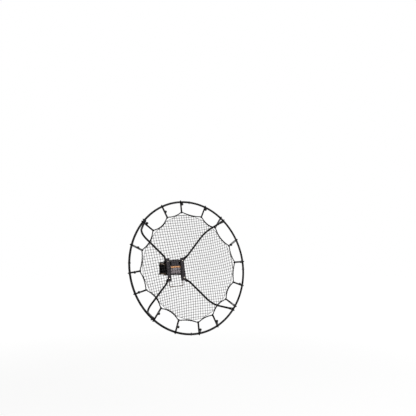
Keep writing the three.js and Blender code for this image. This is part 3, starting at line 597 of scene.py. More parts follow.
# The ring bolts' and seam screws' darker grey-blue zinc is painted shade.
ring_bolt_finish = zinc_plate("grey_blue_bolt_painted_shade", "4f535b", "3c3f46", 0.34, crown="c2bbad")
nut_finish = zinc_plate("blackened_nut", "2c2a29", "211f1e", 0.4)
print("zinc finishes made")

# %% [markdown]
# The net is twisted twine, and the border and the bungees have a braided cover. Both patterns
# follow the cord, so they read the cord's own length and girth in millimetres. A twist is one set
# of slanting ridges. A braid is two sets that slant against each other, each passing over the
# other in turn, which gives small diamonds.
# %% Cords

TWINE = 3.5
LACING = 2
BORDER_CORD = 9
BUNGEE_CORD = 8.2
NET_TWIST = 7.0
LACING_TWIST = 5.0
BORDER_BRAID = 8.0
BUNGEE_BRAID = 6.5
FIBRE_SIZE = 0.8
GROOVE_DEPTH = 0.35


def cord_finish(name, dark, light, diameter, pitch, starts, braided=False, roughness=0.8):
    """Twisted or braided fibre: ridges lift the surface, and the grooves between them are darkened as painted
    shade.

    A ridge is the sine of one turn per pitch along the cord, plus a turn per start round its girth.
    """
    material, tree, shader = start_finish(name)
    coordinates = add_node(tree, "TexCoord")
    surface = add_node(tree, "SeparateXYZ", {0: coordinates["UV"]})
    along = add_node(tree, "Math", {0: surface["X"], 1: FULL_TURN / pitch}, operation="MULTIPLY")[0]
    ridges = []
    for turns in (starts, -starts) if braided else (starts,):
        around = {0: surface["Y"], 1: FULL_TURN * turns / (math.pi * diameter), 2: along}
        slant = add_node(tree, "Math", around, operation="MULTIPLY_ADD")[0]
        ridges.append(add_node(tree, "Math", {0: slant}, operation="SINE")[0])
    height = ridges[0]
    if braided:
        height = add_node(tree, "Math", {0: height, 1: ridges[1]}, operation="MAXIMUM")[0]
    level = add_node(tree, "MapRange", {"Value": height, "From Min": -1.0})["Result"]
    fibres = {"Vector": coordinates["Object"], "Scale": 1 / (FIBRE_SIZE * MM), "Detail": 4.0}
    fibre = add_node(tree, "TexNoise", fibres)
    # The ridge level times the fibre noise mixes dark into light: painted shade in the grooves, and a random
    # fibre tone.
    groove_shade_and_fibre = add_node(tree, "Math", {0: level, 1: fibre["Fac"]}, operation="MULTIPLY")
    colour = add_node(tree, "Mix", {0: groove_shade_and_fibre[0], 6: linear(dark), 7: linear(light)}, data_type="RGBA")
    bump = add_node(tree, "Bump", {"Height": level, "Strength": 0.8, "Distance": GROOVE_DEPTH * MM})
    set_inputs(tree, shader, {
        "Metallic": 0, "Roughness": roughness, "Specular IOR Level": 0.12, "Sheen Weight": 0.04,
        "Sheen Roughness": 0.4, "Base Color": colour[2], "Normal": bump["Normal"],
    })
    return material


net_twine = cord_finish("twisted_net_twine", "131112", "2f2b2c", TWINE, NET_TWIST, 3)
lacing_twine = cord_finish("twisted_lacing_twine", "131112", "2a2627", LACING, LACING_TWIST, 3)
border_braid = cord_finish(
    "braided_border_cord", "080708", "191718", BORDER_CORD, BORDER_BRAID, 4, braided=True, roughness=0.7,
)
bungee_braid = cord_finish(
    "braided_bungee_cord", "060506", "171516", BUNGEE_CORD, BUNGEE_BRAID, 4, braided=True, roughness=0.7,
)
print("cord finishes made")

# %% [markdown]
# The bungee balls are moulded plastic, glossier than the paint, with the fine flow marks that
# such a part shows near its moulding line. The label plate is left bare: a satin film with a warm
# band over a grey field, as a plate of this kind has, and nothing written on it.
# %% Moulded plastic and label film

FLOW_SIZE = 14
FINE_SIZE = 0.6
FINE_HEIGHT = 0.1


def moulded_plastic(name, base, mark, roughness):
    """Moulded plastic: long soft noise for flow marks, and a fine one that breaks up the gloss."""
    material, tree, shader = start_finish(name)
    spot = add_node(tree, "TexCoord")["Object"]
    marks = {"Vector": spot, "Scale": 1 / (FLOW_SIZE * MM), "Distortion": 1.2}
    flow = add_node(tree, "TexNoise", marks)["Fac"]
    fine = add_node(tree, "TexNoise", {"Vector": spot, "Scale": 1 / (FINE_SIZE * MM), "Detail": 2.0})["Fac"]
    colour = add_node(tree, "Mix", {0: flow, 6: linear(base), 7: linear(mark)}, data_type="RGBA")
    shine = {"To Min": roughness - 0.06, "To Max": roughness + 0.12}
    gloss = add_node(tree, "MapRange", {"Value": flow, **shine})
    bump = add_node(tree, "Bump", {"Height": fine, "Strength": 0.08, "Distance": FINE_HEIGHT * MM})
    links = {"Base Color": colour[2], "Roughness": gloss["Result"], "Normal": bump["Normal"]}
    set_inputs(tree, shader, {"Metallic": 0, "Specular IOR Level": 0.25, **links})
    return material


ball_plastic = moulded_plastic("moulded_ball_plastic", "0e0e0f", "191819", 0.36)
label_orange = moulded_plastic("label_film_orange", "f2b27a", "e8a56c", 0.42)
label_grey = moulded_plastic("label_film_grey", "857c80", "938a8e", 0.45)
print("plastics made")

# %% [markdown]
# ## Ring
#
# The ring is four quarters of bent steel tube. Each quarter has a narrowed spigot at one end that
# plugs into the next one's open end, where a screw locks it. A torus cut in four would give the
# curve, but not the ends. Here the section's centre moves on the large circle and its radius
# changes from the socket's bore to the tube and down to the spigot, so one list of rows does the
# whole shell.
# %% Ring quarters

RING_RADIUS = 600
RING_TUBE = 19
RING_WALL = 1.5
SEAM_GAP = 0.7
SPIGOT_LENGTH = 80
SPIGOT_FIT = 0.3
LIP_ROUND = 0.6
QUARTERS = 4
RING_SIDES = 32
SOCKET_SPARE = 1.03
LONG_ROWS = 85
SHORT_ROWS = 9
TUBE_CREASE = 50


def ring_point(angle, radius=RING_RADIUS):
    """A point on the ring at a clock angle: radius times the sine to the right and the cosine up."""
    angle = np.asarray(angle, float)
    return np.stack([radius * np.sin(angle), 0 * angle, radius * np.cos(angle)], axis=-1)


def ring_quarter():
    """One quarter as rows of clock angle and tube radius: socket bore, outer tube, then spigot."""
    outer = RING_TUBE / 2
    bore = outer - RING_WALL
    start = SEAM_GAP / 2 / RING_RADIUS
    end = FULL_TURN / QUARTERS - start
    reach = SPIGOT_LENGTH / RING_RADIUS
    lip = LIP_ROUND / RING_RADIUS
    socket = np.linspace(start + SOCKET_SPARE * reach, start, SHORT_ROWS)
    tube_run = np.linspace(start + lip, end - lip, LONG_ROWS)
    spigot = np.linspace(end, end + reach, SHORT_ROWS)
    angles = np.concatenate([socket, [start, start + lip / 3], tube_run, [end - lip / 3, end], spigot])
    lip_radii = [outer - LIP_ROUND, outer - LIP_ROUND / 3]
    radii = np.repeat(
        [bore, *lip_radii, outer, *lip_radii[::-1], bore - SPIGOT_FIT],
        [SHORT_ROWS, 1, 1, LONG_ROWS, 1, 1, SHORT_ROWS],
    )
    tangents = np.stack([np.cos(angles), 0 * angles, -np.sin(angles)], axis=-1)
    return tube(ring_point(angles), (0, 1, 0), radii, RING_SIDES, tangents=tangents)


for i in range(QUARTERS):
    add_piece(
        f"ring_tube_{i + 1}", ring_quarter(), ring_coat, "net_yoke",
        f"ring_quarter_{i + 1}", clocked(i * FULL_TURN / QUARTERS), crease=TUBE_CREASE,
    )
print("ring quarters:", QUARTERS, "of", RING_SIDES, "sides")

# %% [markdown]
# ## Arms
#
# Four tubes carry the ring. Both ends of each are pressed flat, drilled and bolted, and one long
# bend brings the tube forward to the ring. A flattened tube keeps its girth, so it gets wider as
# it gets thinner, which squeezing a cylinder in edit mode would miss. The section here goes
# smoothly from a circle to a flat, square-sided oval, with a half round at each tip.
# %% Arms

ARM_TUBE = 18.5
ARM_FORWARD = 43
ARM_COUNT = 4
TAB_WIDTH = 27
TAB_THICKNESS = 5
TAB_MARGIN = 13
TAB_ROUND = 1.2
TAB_SQUARENESS = 2.2
HUB_BOLT_OFFSET = 79.5
HUB_BOLT_RADIUS = math.sqrt(2) * HUB_BOLT_OFFSET
JOG_START = 38
JOG_RUN = 24
JOG_BENDS = (9, 14)
ELBOW_RADIUS = 505
ELBOW_BEND = 120
RING_TAB_LENGTH = 30
FLATTEN_RUN = 34
STRIP_BACK = -18
SEAT_GAP = 0.3
ARM_SIDES = 32
ARM_STEP = 5


def arm_path():
    """The arm's middle line in the radial plane: along the bracket, a step clear, out, then forward."""
    hub_tab = RING_FORWARD + STRIP_BACK + SEAT_GAP + TAB_THICKNESS / 2
    run = RING_FORWARD - ARM_FORWARD
    tab_radius = RING_RADIUS - RING_TUBE / 2 - SEAT_GAP - TAB_THICKNESS / 2
    jog = HUB_BOLT_RADIUS + JOG_START
    corners = [
        ((0, hub_tab, HUB_BOLT_RADIUS - TAB_MARGIN), 0),
        ((0, hub_tab, jog), JOG_BENDS[0]),
        ((0, run, jog + JOG_RUN), JOG_BENDS[1]),
        ((0, run, ELBOW_RADIUS), ELBOW_BEND),
        ((0, RING_TAB_LENGTH / 2, tab_radius), JOG_BENDS[0]),
        ((0, -TAB_MARGIN, tab_radius), 0),
    ]
    return evenly(bent_path(corners), ARM_STEP)


def arm():
    """A tube whose half widths and squareness follow the distance from its nearer flattened end."""
    path, from_hub = with_tips(arm_path(), np.linspace(0, TAB_MARGIN, 9) ** 2 / TAB_MARGIN)
    from_ring = from_hub[-1] - from_hub
    hub_flat = JOG_START + TAB_MARGIN
    ring_flat = RING_TAB_LENGTH / 2 + TAB_MARGIN
    share = eased(np.clip(np.minimum(from_hub - hub_flat, from_ring - ring_flat) / FLATTEN_RUN, 0, 1))
    nearer = np.minimum(from_hub, from_ring)
    thick = TAB_THICKNESS / 2 + (ARM_TUBE - TAB_THICKNESS) / 2 * share
    wide = TAB_WIDTH / 2 + (ARM_TUBE - TAB_WIDTH) / 2 * share
    wide = wide * round_tip(np.clip(nearer / TAB_MARGIN, 0, 1), 0.0004)
    widths = np.stack([thick * np.clip(nearer / TAB_ROUND, 0.6, 1), wide], axis=-1)
    return tube(path, (1, 0, 0), widths, ARM_SIDES, corners=2 + TAB_SQUARENESS * (1 - share))


for i in range(ARM_COUNT):
    add_piece(
        f"arm_tube_{i + 1}", arm(), ring_coat, "net_yoke", f"arm_{i + 1}",
        clocked((i + 0.5) * FULL_TURN / ARM_COUNT), crease=TUBE_CREASE,
    )
print("arm length along its bends:", round(lengths(arm_path())[-1]), "mm")

# %% [markdown]
# ## Bolts and nuts
#
# A bolt is a surface round its axis. It could be a cylinder with its thread as a bump, but a bump
# doesn't show on the outline. So rows from the head to the tip each have a radius and a height,
# which are even on the round parts, follow a square or a hexagon on the neck and the flats, and
# wind along the shank on the thread. The corners of a nut are cut at thirty degrees, so the flats
# end in the curved edges that a real nut has.
# %% Bolt surfaces

BOLT_SIDES = 48
CHAMFER_SLOPE = math.tan(math.radians(30))
FACE_SHARE = 0.96
RIM_SHARE = 0.22
THREAD_DEPTH = 0.54
AXIS = 0.02
HEAD_EDGE = 0.2
TIP_CUT = 0.9
THREAD_CLEAR = 0.05
BORE_CUT = 0.5
bolt_angles = np.arange(BOLT_SIDES) / BOLT_SIDES * FULL_TURN


def around_axis(rows, loop=False):
    """A surface round the Z axis from rows of radius and height, each one number or one per column."""
    radii = np.stack([np.broadcast_to(radius, BOLT_SIDES) for radius, _ in rows]).astype(float)
    heights = np.stack([np.broadcast_to(height, BOLT_SIDES) for _, height in rows]).astype(float)
    grid = np.stack([radii * np.cos(bolt_angles), radii * np.sin(bolt_angles), heights], axis=-1)
    mean = np.stack([radii.mean(axis=1), heights.mean(axis=1)], axis=-1)
    around = np.arange(BOLT_SIDES + 1) / BOLT_SIDES * FULL_TURN * radii.max()
    return shell_of(grid, lengths(mean, loop), around, wrap_rows=loop)


def flats(width, corners):
    """The radius of a many-sided shape at each angle: half its width over the cosine from a flat's middle."""
    span = FULL_TURN / corners
    return width / 2 / np.cos((bolt_angles + span / 2) % span - span / 2)


def chamfer(width):
    """How far the thirty degree cut eats into the height at each angle of a hexagon."""
    return np.maximum(0, flats(width, 6) - FACE_SHARE * width / 2) * CHAMFER_SLOPE


def domed_head(width, height):
    """A low round head from its crown to its underside: an arc, then a short upright rim."""
    sweep = np.linspace(0.001, 1, 9) * math.pi / 2
    rim = height * RIM_SHARE
    dome = [(width / 2 * np.sin(angle), -rim - (height - rim) * np.cos(angle)) for angle in sweep]
    return dome + [(width / 2 + 0.01, -rim / 2), (width / 2 - 0.15, -0.001), (width / 2 - 0.3, 0)]


def hex_head(width, height):
    """A hexagon head from its crown to its underside, with the thirty degree cut on its outer face."""
    return [
        (AXIS, -height), (FACE_SHARE * width / 2, -height), (flats(width, 6), -height + chamfer(width)),
        (flats(width, 6), -HEAD_EDGE), (flats(width, 6) - HEAD_EDGE, 0),
    ]


def thread(diameter, pitch, start, end):
    """Rows of a screw thread: the radius falls with the distance from the crest that winds up the shank."""
    rows = []
    for height in np.arange(start, end, pitch / 6):
        turn = (height / pitch - bolt_angles / FULL_TURN) % 1
        rows.append((diameter / 2 - THREAD_DEPTH * pitch * (1 - np.abs(2 * turn - 1)), height))
    return rows


def bolt(head, diameter, pitch, thread_start, length, neck=None):
    """A bolt from its head at z below zero to its chamfered tip, with an optional square neck."""
    radius = diameter / 2
    rows = list(head)
    if neck:
        rows += [(flats(neck[0], 4), AXIS), (flats(neck[0], 4), neck[1] - 0.6)]
    rows += [(radius, neck[1] if neck else 0.01), (radius, thread_start)]
    rows += thread(diameter, pitch, thread_start + 0.4, length - 1)
    rows += [(radius * 0.86, length - TIP_CUT), (radius * 0.72, length), (AXIS, length)]
    return around_axis(rows)


def nut(width, height, diameter):
    """A nut: bore, lower face, cut corners, flats, cut corners, upper face, and back down the bore."""
    inner = diameter / 2 + THREAD_CLEAR
    flat, cut = flats(width, 6), chamfer(width)
    face = FACE_SHARE * width / 2
    return around_axis(
        [
            (inner, BORE_CUT), (inner + BORE_CUT, 0), (face, 0), (flat, cut), (flat, height - cut),
            (face, height), (inner + BORE_CUT, height), (inner, height - BORE_CUT),
        ],
        loop=True,
    )


print("bolt rows wind over", BOLT_SIDES, "columns")

# %% [markdown]
# The arms are held at the hub by round-headed bolts through the strips, and at the ring by bolts
# through tab and tube whose ends stand out past the ring. A small screw with its nut locks each
# seam of the ring. All are joined with their nuts, because they are tightened once and stay so.
# Each one is turned a little further than the one before, as hands leave them.
# %% Bolts of the arms and the ring

HUB_LEVEL = -RING_DROP
STRIP_FRONT = -21
SHEET = 3
PAST_CROWN = 30
INTO_GRIP = 2
HUB_SPIN = 0.7
RING_SPIN = 1.1
SCREW_SPIN = 0.4
HUB_BOLT = {"diameter": 8, "pitch": 1.25, "head": 17, "height": 4, "nut": 13, "nut_height": 4.5, "tail": 1.6}
RING_BOLT = {"diameter": 7, "pitch": 1.0, "head": 13, "height": 4, "nut": 13, "nut_height": 5, "tail": 5.5}
SEAM_SCREW = {"diameter": 5, "pitch": 0.8, "head": 9, "height": 3, "nut": 8, "nut_height": 3.5, "tail": 2.5}
SCREW_FROM_SEAM = 55.5


def fixing(size, grip):
    """A round-headed bolt with its nut at a grip's length from the head.

    The nut's corners start further along, so that only the head has the painted highlight on its crown.
    """
    length = grip + size["nut_height"] + size["tail"]
    head = domed_head(size["head"], size["height"])
    body = bolt(head, size["diameter"], size["pitch"], grip - INTO_GRIP, length)
    points, faces, corners = nut(size["nut"], size["nut_height"], size["diameter"])
    return together([body, (points + (0, 0, grip), faces, corners + (PAST_CROWN, 0))])


hub_grip = SHEET + TAB_THICKNESS + 3 * SEAT_GAP
backwards = turned("X", -math.pi / 2)
for i, (side, level) in enumerate([(1, 1), (1, -1), (-1, -1), (-1, 1)]):
    place = shifted(side * HUB_BOLT_OFFSET, STRIP_FRONT - SEAT_GAP, HUB_LEVEL + level * HUB_BOLT_OFFSET)
    add_piece(
        f"hub_bolt_{i + 1}", fixing(HUB_BOLT, hub_grip), hub_bolt_finish, "net_yoke",
        f"arm_hub_bolt_{i + 1}", YOKE @ place @ backwards @ turned("Z", HUB_SPIN * i),
    )

ring_grip = TAB_THICKNESS + RING_TUBE + 3 * SEAT_GAP
ring_head = RING_RADIUS - RING_TUBE / 2 - TAB_THICKNESS - 2 * SEAT_GAP
screw_grip = RING_TUBE + 2 * SEAT_GAP
screw_head = RING_RADIUS + RING_TUBE / 2 + SEAT_GAP
for i in range(ARM_COUNT):
    arm_angle = (i + 0.5) * FULL_TURN / ARM_COUNT
    add_piece(
        f"ring_bolt_{i + 1}", fixing(RING_BOLT, ring_grip), ring_bolt_finish, "net_yoke",
        f"arm_ring_bolt_{i + 1}", clocked(arm_angle) @ shifted(0, 0, ring_head) @ turned("Z", RING_SPIN * i),
    )
    seam_angle = i * FULL_TURN / QUARTERS + SCREW_FROM_SEAM / RING_RADIUS
    add_piece(
        f"seam_screw_{i + 1}", fixing(SEAM_SCREW, screw_grip), ring_bolt_finish, "net_yoke",
        f"ring_screw_{i + 1}",
        clocked(seam_angle) @ shifted(0, 0, screw_head) @ turned("X", math.pi) @ turned("Z", SCREW_SPIN * i),
    )
print("ring bolt grip", round(ring_grip, 1), "mm, hub bolt grip", round(hub_grip, 1), "mm")

# %% [markdown]
# ## Yoke
#
# Each side bracket is one sheet bent to an angle: a strip faces forward and a flange runs back
# to the pivot. Between them sits a flat plate, welded along its lower edges. The blank is drawn
# flat, with the flange on the left of the bend and the strip on its right. Only the right one is
# drawn. The left one is its reflection, whose faces are turned so that they still point outwards.
# %% Side brackets

FLANGE_MIDDLE = 60
STRIP_MIDDLE = STRIP_FRONT + SHEET / 2
STRIP_OUTER = 97.5
STRIP_TOP = HUB_LEVEL + 113
STRIP_FOOT = HUB_LEVEL - 108
BEND_MIDDLE = 2.5
LOBE_RADIUS = 15
FOOT_BACK = 1
STRIP_CORNER = 5
PIVOT_BOLT = 8
LATCH_DROP = 62
BAIL_TRAVEL = 8
PIN_RADIUS = 3.5
SLIDE_GAP = 0.5
MID_BOLT_X = 78
MID_BOLT_LEVEL = HUB_LEVEL + 5
MID_BOLT = {"diameter": 5, "pitch": 0.8, "head": 10, "height": 2.6, "nut": 8, "nut_height": 4, "tail": 1.5}

bracket_section = bent_path(
    [((FLANGE_MIDDLE, LOBE_RADIUS + SHEET, 0), 0), ((FLANGE_MIDDLE, STRIP_MIDDLE, 0), BEND_MIDDLE),
     ((STRIP_OUTER, STRIP_MIDDLE, 0), 0)],
    step=0.6,
)
flat_width = lengths(bracket_section)[-1]


def flange_u(depth):
    """The flat distance of a place on the flange from its depth: it runs forward from the back."""
    return LOBE_RADIUS + SHEET - depth


def strip_u(across):
    """The flat distance of a place on the strip from its distance to the middle."""
    return flat_width - (STRIP_OUTER - across)


def bracket_blank():
    """The blank's outline: foot, strip's outer edge, top, then the flange's taper, lobe and back edge."""
    right = strip_u(STRIP_OUTER)
    c = STRIP_CORNER
    lobe = arc((flange_u(0), 0), LOBE_RADIUS, math.radians(45), math.radians(180), 22)
    return np.concatenate([
        arc((flange_u(FOOT_BACK) + c, STRIP_FOOT + c), c, math.pi, 1.5 * math.pi, 7),
        arc((right - c, STRIP_FOOT + c), c, -math.pi / 2, 0, 7),
        arc((right - c, STRIP_TOP - c), c, 0, math.pi / 2, 7),
        [(flange_u(STRIP_MIDDLE + BEND_MIDDLE), STRIP_TOP)],
        lobe,
    ])


def bracket_holes():
    """Pivot bore, latch slot, and the bolt holes of the strip, in the flat."""
    slot = PIN_RADIUS + SLIDE_GAP
    upper = arc((flange_u(0), -LATCH_DROP), slot, 0, math.pi, 13)
    lower = arc((flange_u(0), -LATCH_DROP - BAIL_TRAVEL), slot, math.pi, FULL_TURN, 13)
    hub_levels = (HUB_LEVEL - HUB_BOLT_OFFSET, HUB_LEVEL + HUB_BOLT_OFFSET)
    return [
        np.concatenate([upper, lower]), hole(flange_u(0), 0, PIVOT_BOLT),
        hole(strip_u(MID_BOLT_X), MID_BOLT_LEVEL, MID_BOLT["diameter"]),
        *(hole(strip_u(HUB_BOLT_OFFSET), level, HUB_BOLT["diameter"]) for level in hub_levels),
    ]


right_bracket = sheet_shell(bracket_blank(), bracket_holes(), bracket_section, SHEET, (0, 0, 1))
for word, shell in (("right", right_bracket), ("left", mirrored(right_bracket))):
    add_steel(f"bracket_{word}", shell, "yoke", f"side_bracket_{word}")
print("bracket blank", round(flat_width, 1), "mm wide,", STRIP_TOP - STRIP_FOOT, "mm long")

# %% [markdown]
# The plate between the brackets is cut with a neck, so that the fixed ears of the clamp pass
# beside it. It is welded to the brackets from behind with two short beads. A bead is a rod whose
# radius ripples once for each step that the molten end was moved on by.
# %% Plate between the brackets, with its welds

WEB_FRONT = -12
WEB_FOOT = HUB_LEVEL - 42
WEB_TOP = HUB_LEVEL + 99
WEB_HALF = 58.2
WEB_WAIST = 53
WEB_NECK = 38
WEB_SHOULDER = -34
WEB_EAR_LEVEL = -LATCH_DROP - 14
WELD_RADIUS = 2.2
EAR_WELD_RADIUS = 2.4
WELD_RIPPLE = 3.2
WELD_STEP = 0.6
WELD_SUNK = 0.4
WELD_PROUD = 0.2
WELD_NEAR = 3
WELD_FAR = 4
WIRE_CREASE = 60

web_right = [
    (WEB_HALF, WEB_FOOT, 2), (WEB_HALF, WEB_EAR_LEVEL, 1.5), (WEB_WAIST, WEB_EAR_LEVEL, 2),
    (WEB_WAIST, WEB_SHOULDER, 5), (WEB_NECK, WEB_SHOULDER, 2), (WEB_NECK, WEB_TOP, 5),
]
web_left = [(-x, z, radius) for x, z, radius in web_right[::-1]]
web = flat_sheet(rounded(web_right + web_left), [], SHEET, (0, WEB_FRONT + SHEET / 2, 0), (1, 0, 0))
add_steel("web_plate", web, "yoke", "yoke_web")


def weld(x, y, foot, top, radius):
    """An upright weld bead: its radius ripples with the sine of the height, and its ends are round."""
    run = top - foot
    share = np.linspace(0, 1, max(8, int(run / WELD_STEP)))
    path = np.stack([x + 0 * share, y + 0 * share, foot + run * share], axis=-1)
    nose = round_tip(np.clip(np.minimum(share, 1 - share) * run / radius, 0, 1), 0.01)
    ripple = 1 + 0.08 * np.sin(share * run / WELD_RIPPLE * FULL_TURN)
    return tube(path, (0, 1, 0), radius * nose * ripple, 12)


beads = [
    weld(
        side * (WEB_HALF - WELD_SUNK), WEB_FRONT + SHEET + WELD_PROUD,
        WEB_FOOT + WELD_FAR, WEB_EAR_LEVEL - WELD_NEAR, WELD_RADIUS,
    )
    for _, side in SIDES
]
add_piece("web_welds", together(beads), yoke_coat_painted_light, "net_yoke", matrix=YOKE, crease=WIRE_CREASE)
print("web", 2 * WEB_HALF, "by", WEB_TOP - WEB_FOOT, "mm, with", len(beads), "welds")

# %% [markdown]
# The plate carries a label. It is left bare here: a thin film with rounded corners, its upper
# quarter a warm band and the rest plain grey. Each strip also has one small bolt near its middle.
# %% Label and middle bolts

LABEL_LEFT = -47
LABEL_RIGHT = 53
LABEL_FOOT = HUB_LEVEL - 34
LABEL_TOP = HUB_LEVEL + 35
BAND_FOOT = HUB_LEVEL + 19
BAND_GAP = 0.6
FILM = 0.35
GLUE = 0.02
LABEL_CORNER = 2.5
STRIP_SEAT = 0.1

film_middle = WEB_FRONT - FILM / 2 - GLUE
for name, foot, top, finish in (
    ("label_field", LABEL_FOOT, BAND_FOOT - BAND_GAP, label_grey),
    ("label_band", BAND_FOOT, LABEL_TOP, label_orange),
):
    outline = rounded_box(LABEL_LEFT, LABEL_RIGHT, foot, top, LABEL_CORNER)
    film = flat_sheet(outline, [], FILM, (0, film_middle, 0), (1, 0, 0))
    add_piece(name, film, finish, "net_yoke", matrix=YOKE)

for word, side in SIDES:
    place = shifted(side * MID_BOLT_X, STRIP_FRONT - STRIP_SEAT, MID_BOLT_LEVEL) @ backwards
    add_piece(
        f"strip_bolt_{word}", fixing(MID_BOLT, SHEET + 2 * STRIP_SEAT), strip_bolt_finish, "net_yoke",
        matrix=YOKE @ place,
    )
print("label", LABEL_RIGHT - LABEL_LEFT, "by", LABEL_TOP - LABEL_FOOT, "mm")

# %% [markdown]
# ## Clamp
#
# The clamp is two plates. The front one is flat and carries two ears that the yoke tilts on,
# each with a round lower edge that the latch pins press against. The rear one is a channel bent
# from one plate. Four long bolts with square necks draw them together.
# %% Clamp plates

CLAMP_SHEET = 4
CLAMP_HALF_WIDTH = 100
CLAMP_FOOT = -60
CLAMP_BOLT_X = 87
CLAMP_BOLT_Z = 46
CLAMP_CORNER = 8
EAR_SHEET = 3.5
EAR_MIDDLE = 55.75
EAR_FACES = (EAR_MIDDLE - EAR_SHEET / 2, EAR_MIDDLE + EAR_SHEET / 2)
EAR_LOBE = 14
EAR_ROOT = 20.4
QUADRANT_RADIUS = LATCH_DROP - PIN_RADIUS - SEAT_GAP
TILT_RANGE = 21.5
QUADRANT_MARGIN = 4
QUADRANT_FRONT = math.radians(270 - TILT_RANGE - QUADRANT_MARGIN)
QUADRANT_BACK = math.radians(270 + QUADRANT_MARGIN)
EAR_HEEL = 4
NECK_WIDTH = 9
NECK_CORNER = 0.8
GRIP_DEPTH = 90
CHANNEL_DEPTH = 30
CHANNEL_PAST_BOLT = 14
CHANNEL_BEND = 4
CHANNEL_CORNER = 3
CLAMP_BOLT = {"diameter": 8, "pitch": 1.25, "head": 19, "height": 4.6}

clamp_places = [(x, z) for x in (-CLAMP_BOLT_X, CLAMP_BOLT_X) for z in (-CLAMP_BOLT_Z, CLAMP_BOLT_Z)]
clamp_top = pivot[2] + EAR_LOBE


def square_hole(x, z):
    """A square hole for a bolt's neck, with its corners slightly rounded."""
    half = NECK_WIDTH / 2 + SLIDE_GAP
    return rounded_box(x - half, x + half, z - half, z + half, NECK_CORNER, 3)


def ear_outline():
    """An ear about the pivot: lobe, front edge, round quadrant below, and the heel on the plate."""
    return np.concatenate([
        [(EAR_ROOT, EAR_LOBE)],
        arc((0, 0), EAR_LOBE, math.pi / 2, QUADRANT_FRONT, 22),
        arc((0, 0), QUADRANT_RADIUS, QUADRANT_FRONT, QUADRANT_BACK, 24),
        [(EAR_ROOT, -QUADRANT_RADIUS - EAR_HEEL)],
    ])


front_plate = flat_sheet(
    rounded_box(-CLAMP_HALF_WIDTH, CLAMP_HALF_WIDTH, CLAMP_FOOT, clamp_top, CLAMP_CORNER),
    [square_hole(x, z) for x, z in clamp_places], CLAMP_SHEET, (0, -CLAMP_SHEET / 2, 0), (1, 0, 0),
)
pivot_hole = hole(0, 0, PIVOT_BOLT)
ears = [
    flat_sheet(ear_outline(), [pivot_hole], EAR_SHEET, (side * EAR_MIDDLE, pivot[1], pivot[2]), (0, 1, 0))
    for _, side in SIDES
]
add_steel("front_clamp_plate", together([front_plate, *ears]), "clamp", "front_clamp")
ear_foot = pivot[2] - QUADRANT_RADIUS - EAR_HEEL
ear_welds = [
    weld(side * face, -CLAMP_SHEET, ear_foot + WELD_NEAR, clamp_top - WELD_FAR, EAR_WELD_RADIUS)
    for _, side in SIDES for face in EAR_FACES
]
add_piece("ear_welds", together(ear_welds), clamp_coat, "pole_clamp", crease=WIRE_CREASE)

flange_middle = CLAMP_BOLT_Z + CHANNEL_PAST_BOLT - CLAMP_SHEET / 2
channel_middle = GRIP_DEPTH + CLAMP_SHEET / 2
lower_half = [
    ((0, GRIP_DEPTH + CHANNEL_DEPTH, -flange_middle), 0),
    ((0, channel_middle, -flange_middle), CHANNEL_BEND),
]
upper_half = [((x, y, -z), radius) for (x, y, z), radius in lower_half[::-1]]
channel_section = bent_path(lower_half + upper_half, step=1.0)
channel_length = lengths(channel_section)[-1]
channel_outline = rounded_box(0, channel_length, -CLAMP_HALF_WIDTH, CLAMP_HALF_WIDTH, CHANNEL_CORNER)
channel_holes = [hole(channel_length / 2 + z, x, CLAMP_BOLT["diameter"]) for x, z in clamp_places]
rear_clamp = sheet_shell(channel_outline, channel_holes, channel_section, CLAMP_SHEET, (1, 0, 0))
add_steel("rear_clamp_channel", rear_clamp, "clamp", "rear_clamp")
print("rear clamp blank", round(channel_length, 1), "by", 2 * CLAMP_HALF_WIDTH, "mm")

# %% [markdown]
# The clamp's carriage bolts have a square neck that keeps them from turning in the front plate, so
# that only the nuts behind need a wrench. The yoke tilts on two short hexagon bolts, whose heads
# sit inside the ears because the flanges pass outside them.
# %% Clamp bolts and pivot bolts

CLAMP_NUT = (13, 6.5)
CLAMP_TAIL = 14
NUT_SPIN = 0.35
THREAD_LENGTH = 46
EAR_INNER = EAR_FACES[0]
PIVOT_HEAD = (13, 4.5)
PIVOT_NUT = (13, 5)
PIVOT_TAIL = 1.5
PIVOT_PITCH = 1.25
PIVOT_INTO_GRIP = 0.5

clamp_grip = GRIP_DEPTH + 2 * CLAMP_SHEET + 2 * SEAT_GAP
clamp_length = clamp_grip + CLAMP_NUT[1] + CLAMP_TAIL
carriage_bolt = bolt(
    domed_head(CLAMP_BOLT["head"], CLAMP_BOLT["height"]), CLAMP_BOLT["diameter"], CLAMP_BOLT["pitch"],
    clamp_length - THREAD_LENGTH, clamp_length, neck=(NECK_WIDTH, CLAMP_SHEET),
)
clamp_nut = nut(*CLAMP_NUT, CLAMP_BOLT["diameter"])
for i, (x, z) in enumerate(clamp_places):
    add_piece(
        f"carriage_bolt_{i + 1}", carriage_bolt, clamp_zinc, "pole_clamp", f"clamp_bolt_{i + 1}",
        shifted(x, -CLAMP_SHEET - SEAT_GAP, z) @ backwards,
    )
    add_piece(
        f"carriage_nut_{i + 1}", clamp_nut, nut_finish, "pole_clamp", f"clamp_nut_{i + 1}",
        shifted(x, GRIP_DEPTH + CLAMP_SHEET + SEAT_GAP, z) @ backwards @ turned("Z", NUT_SPIN * i),
    )

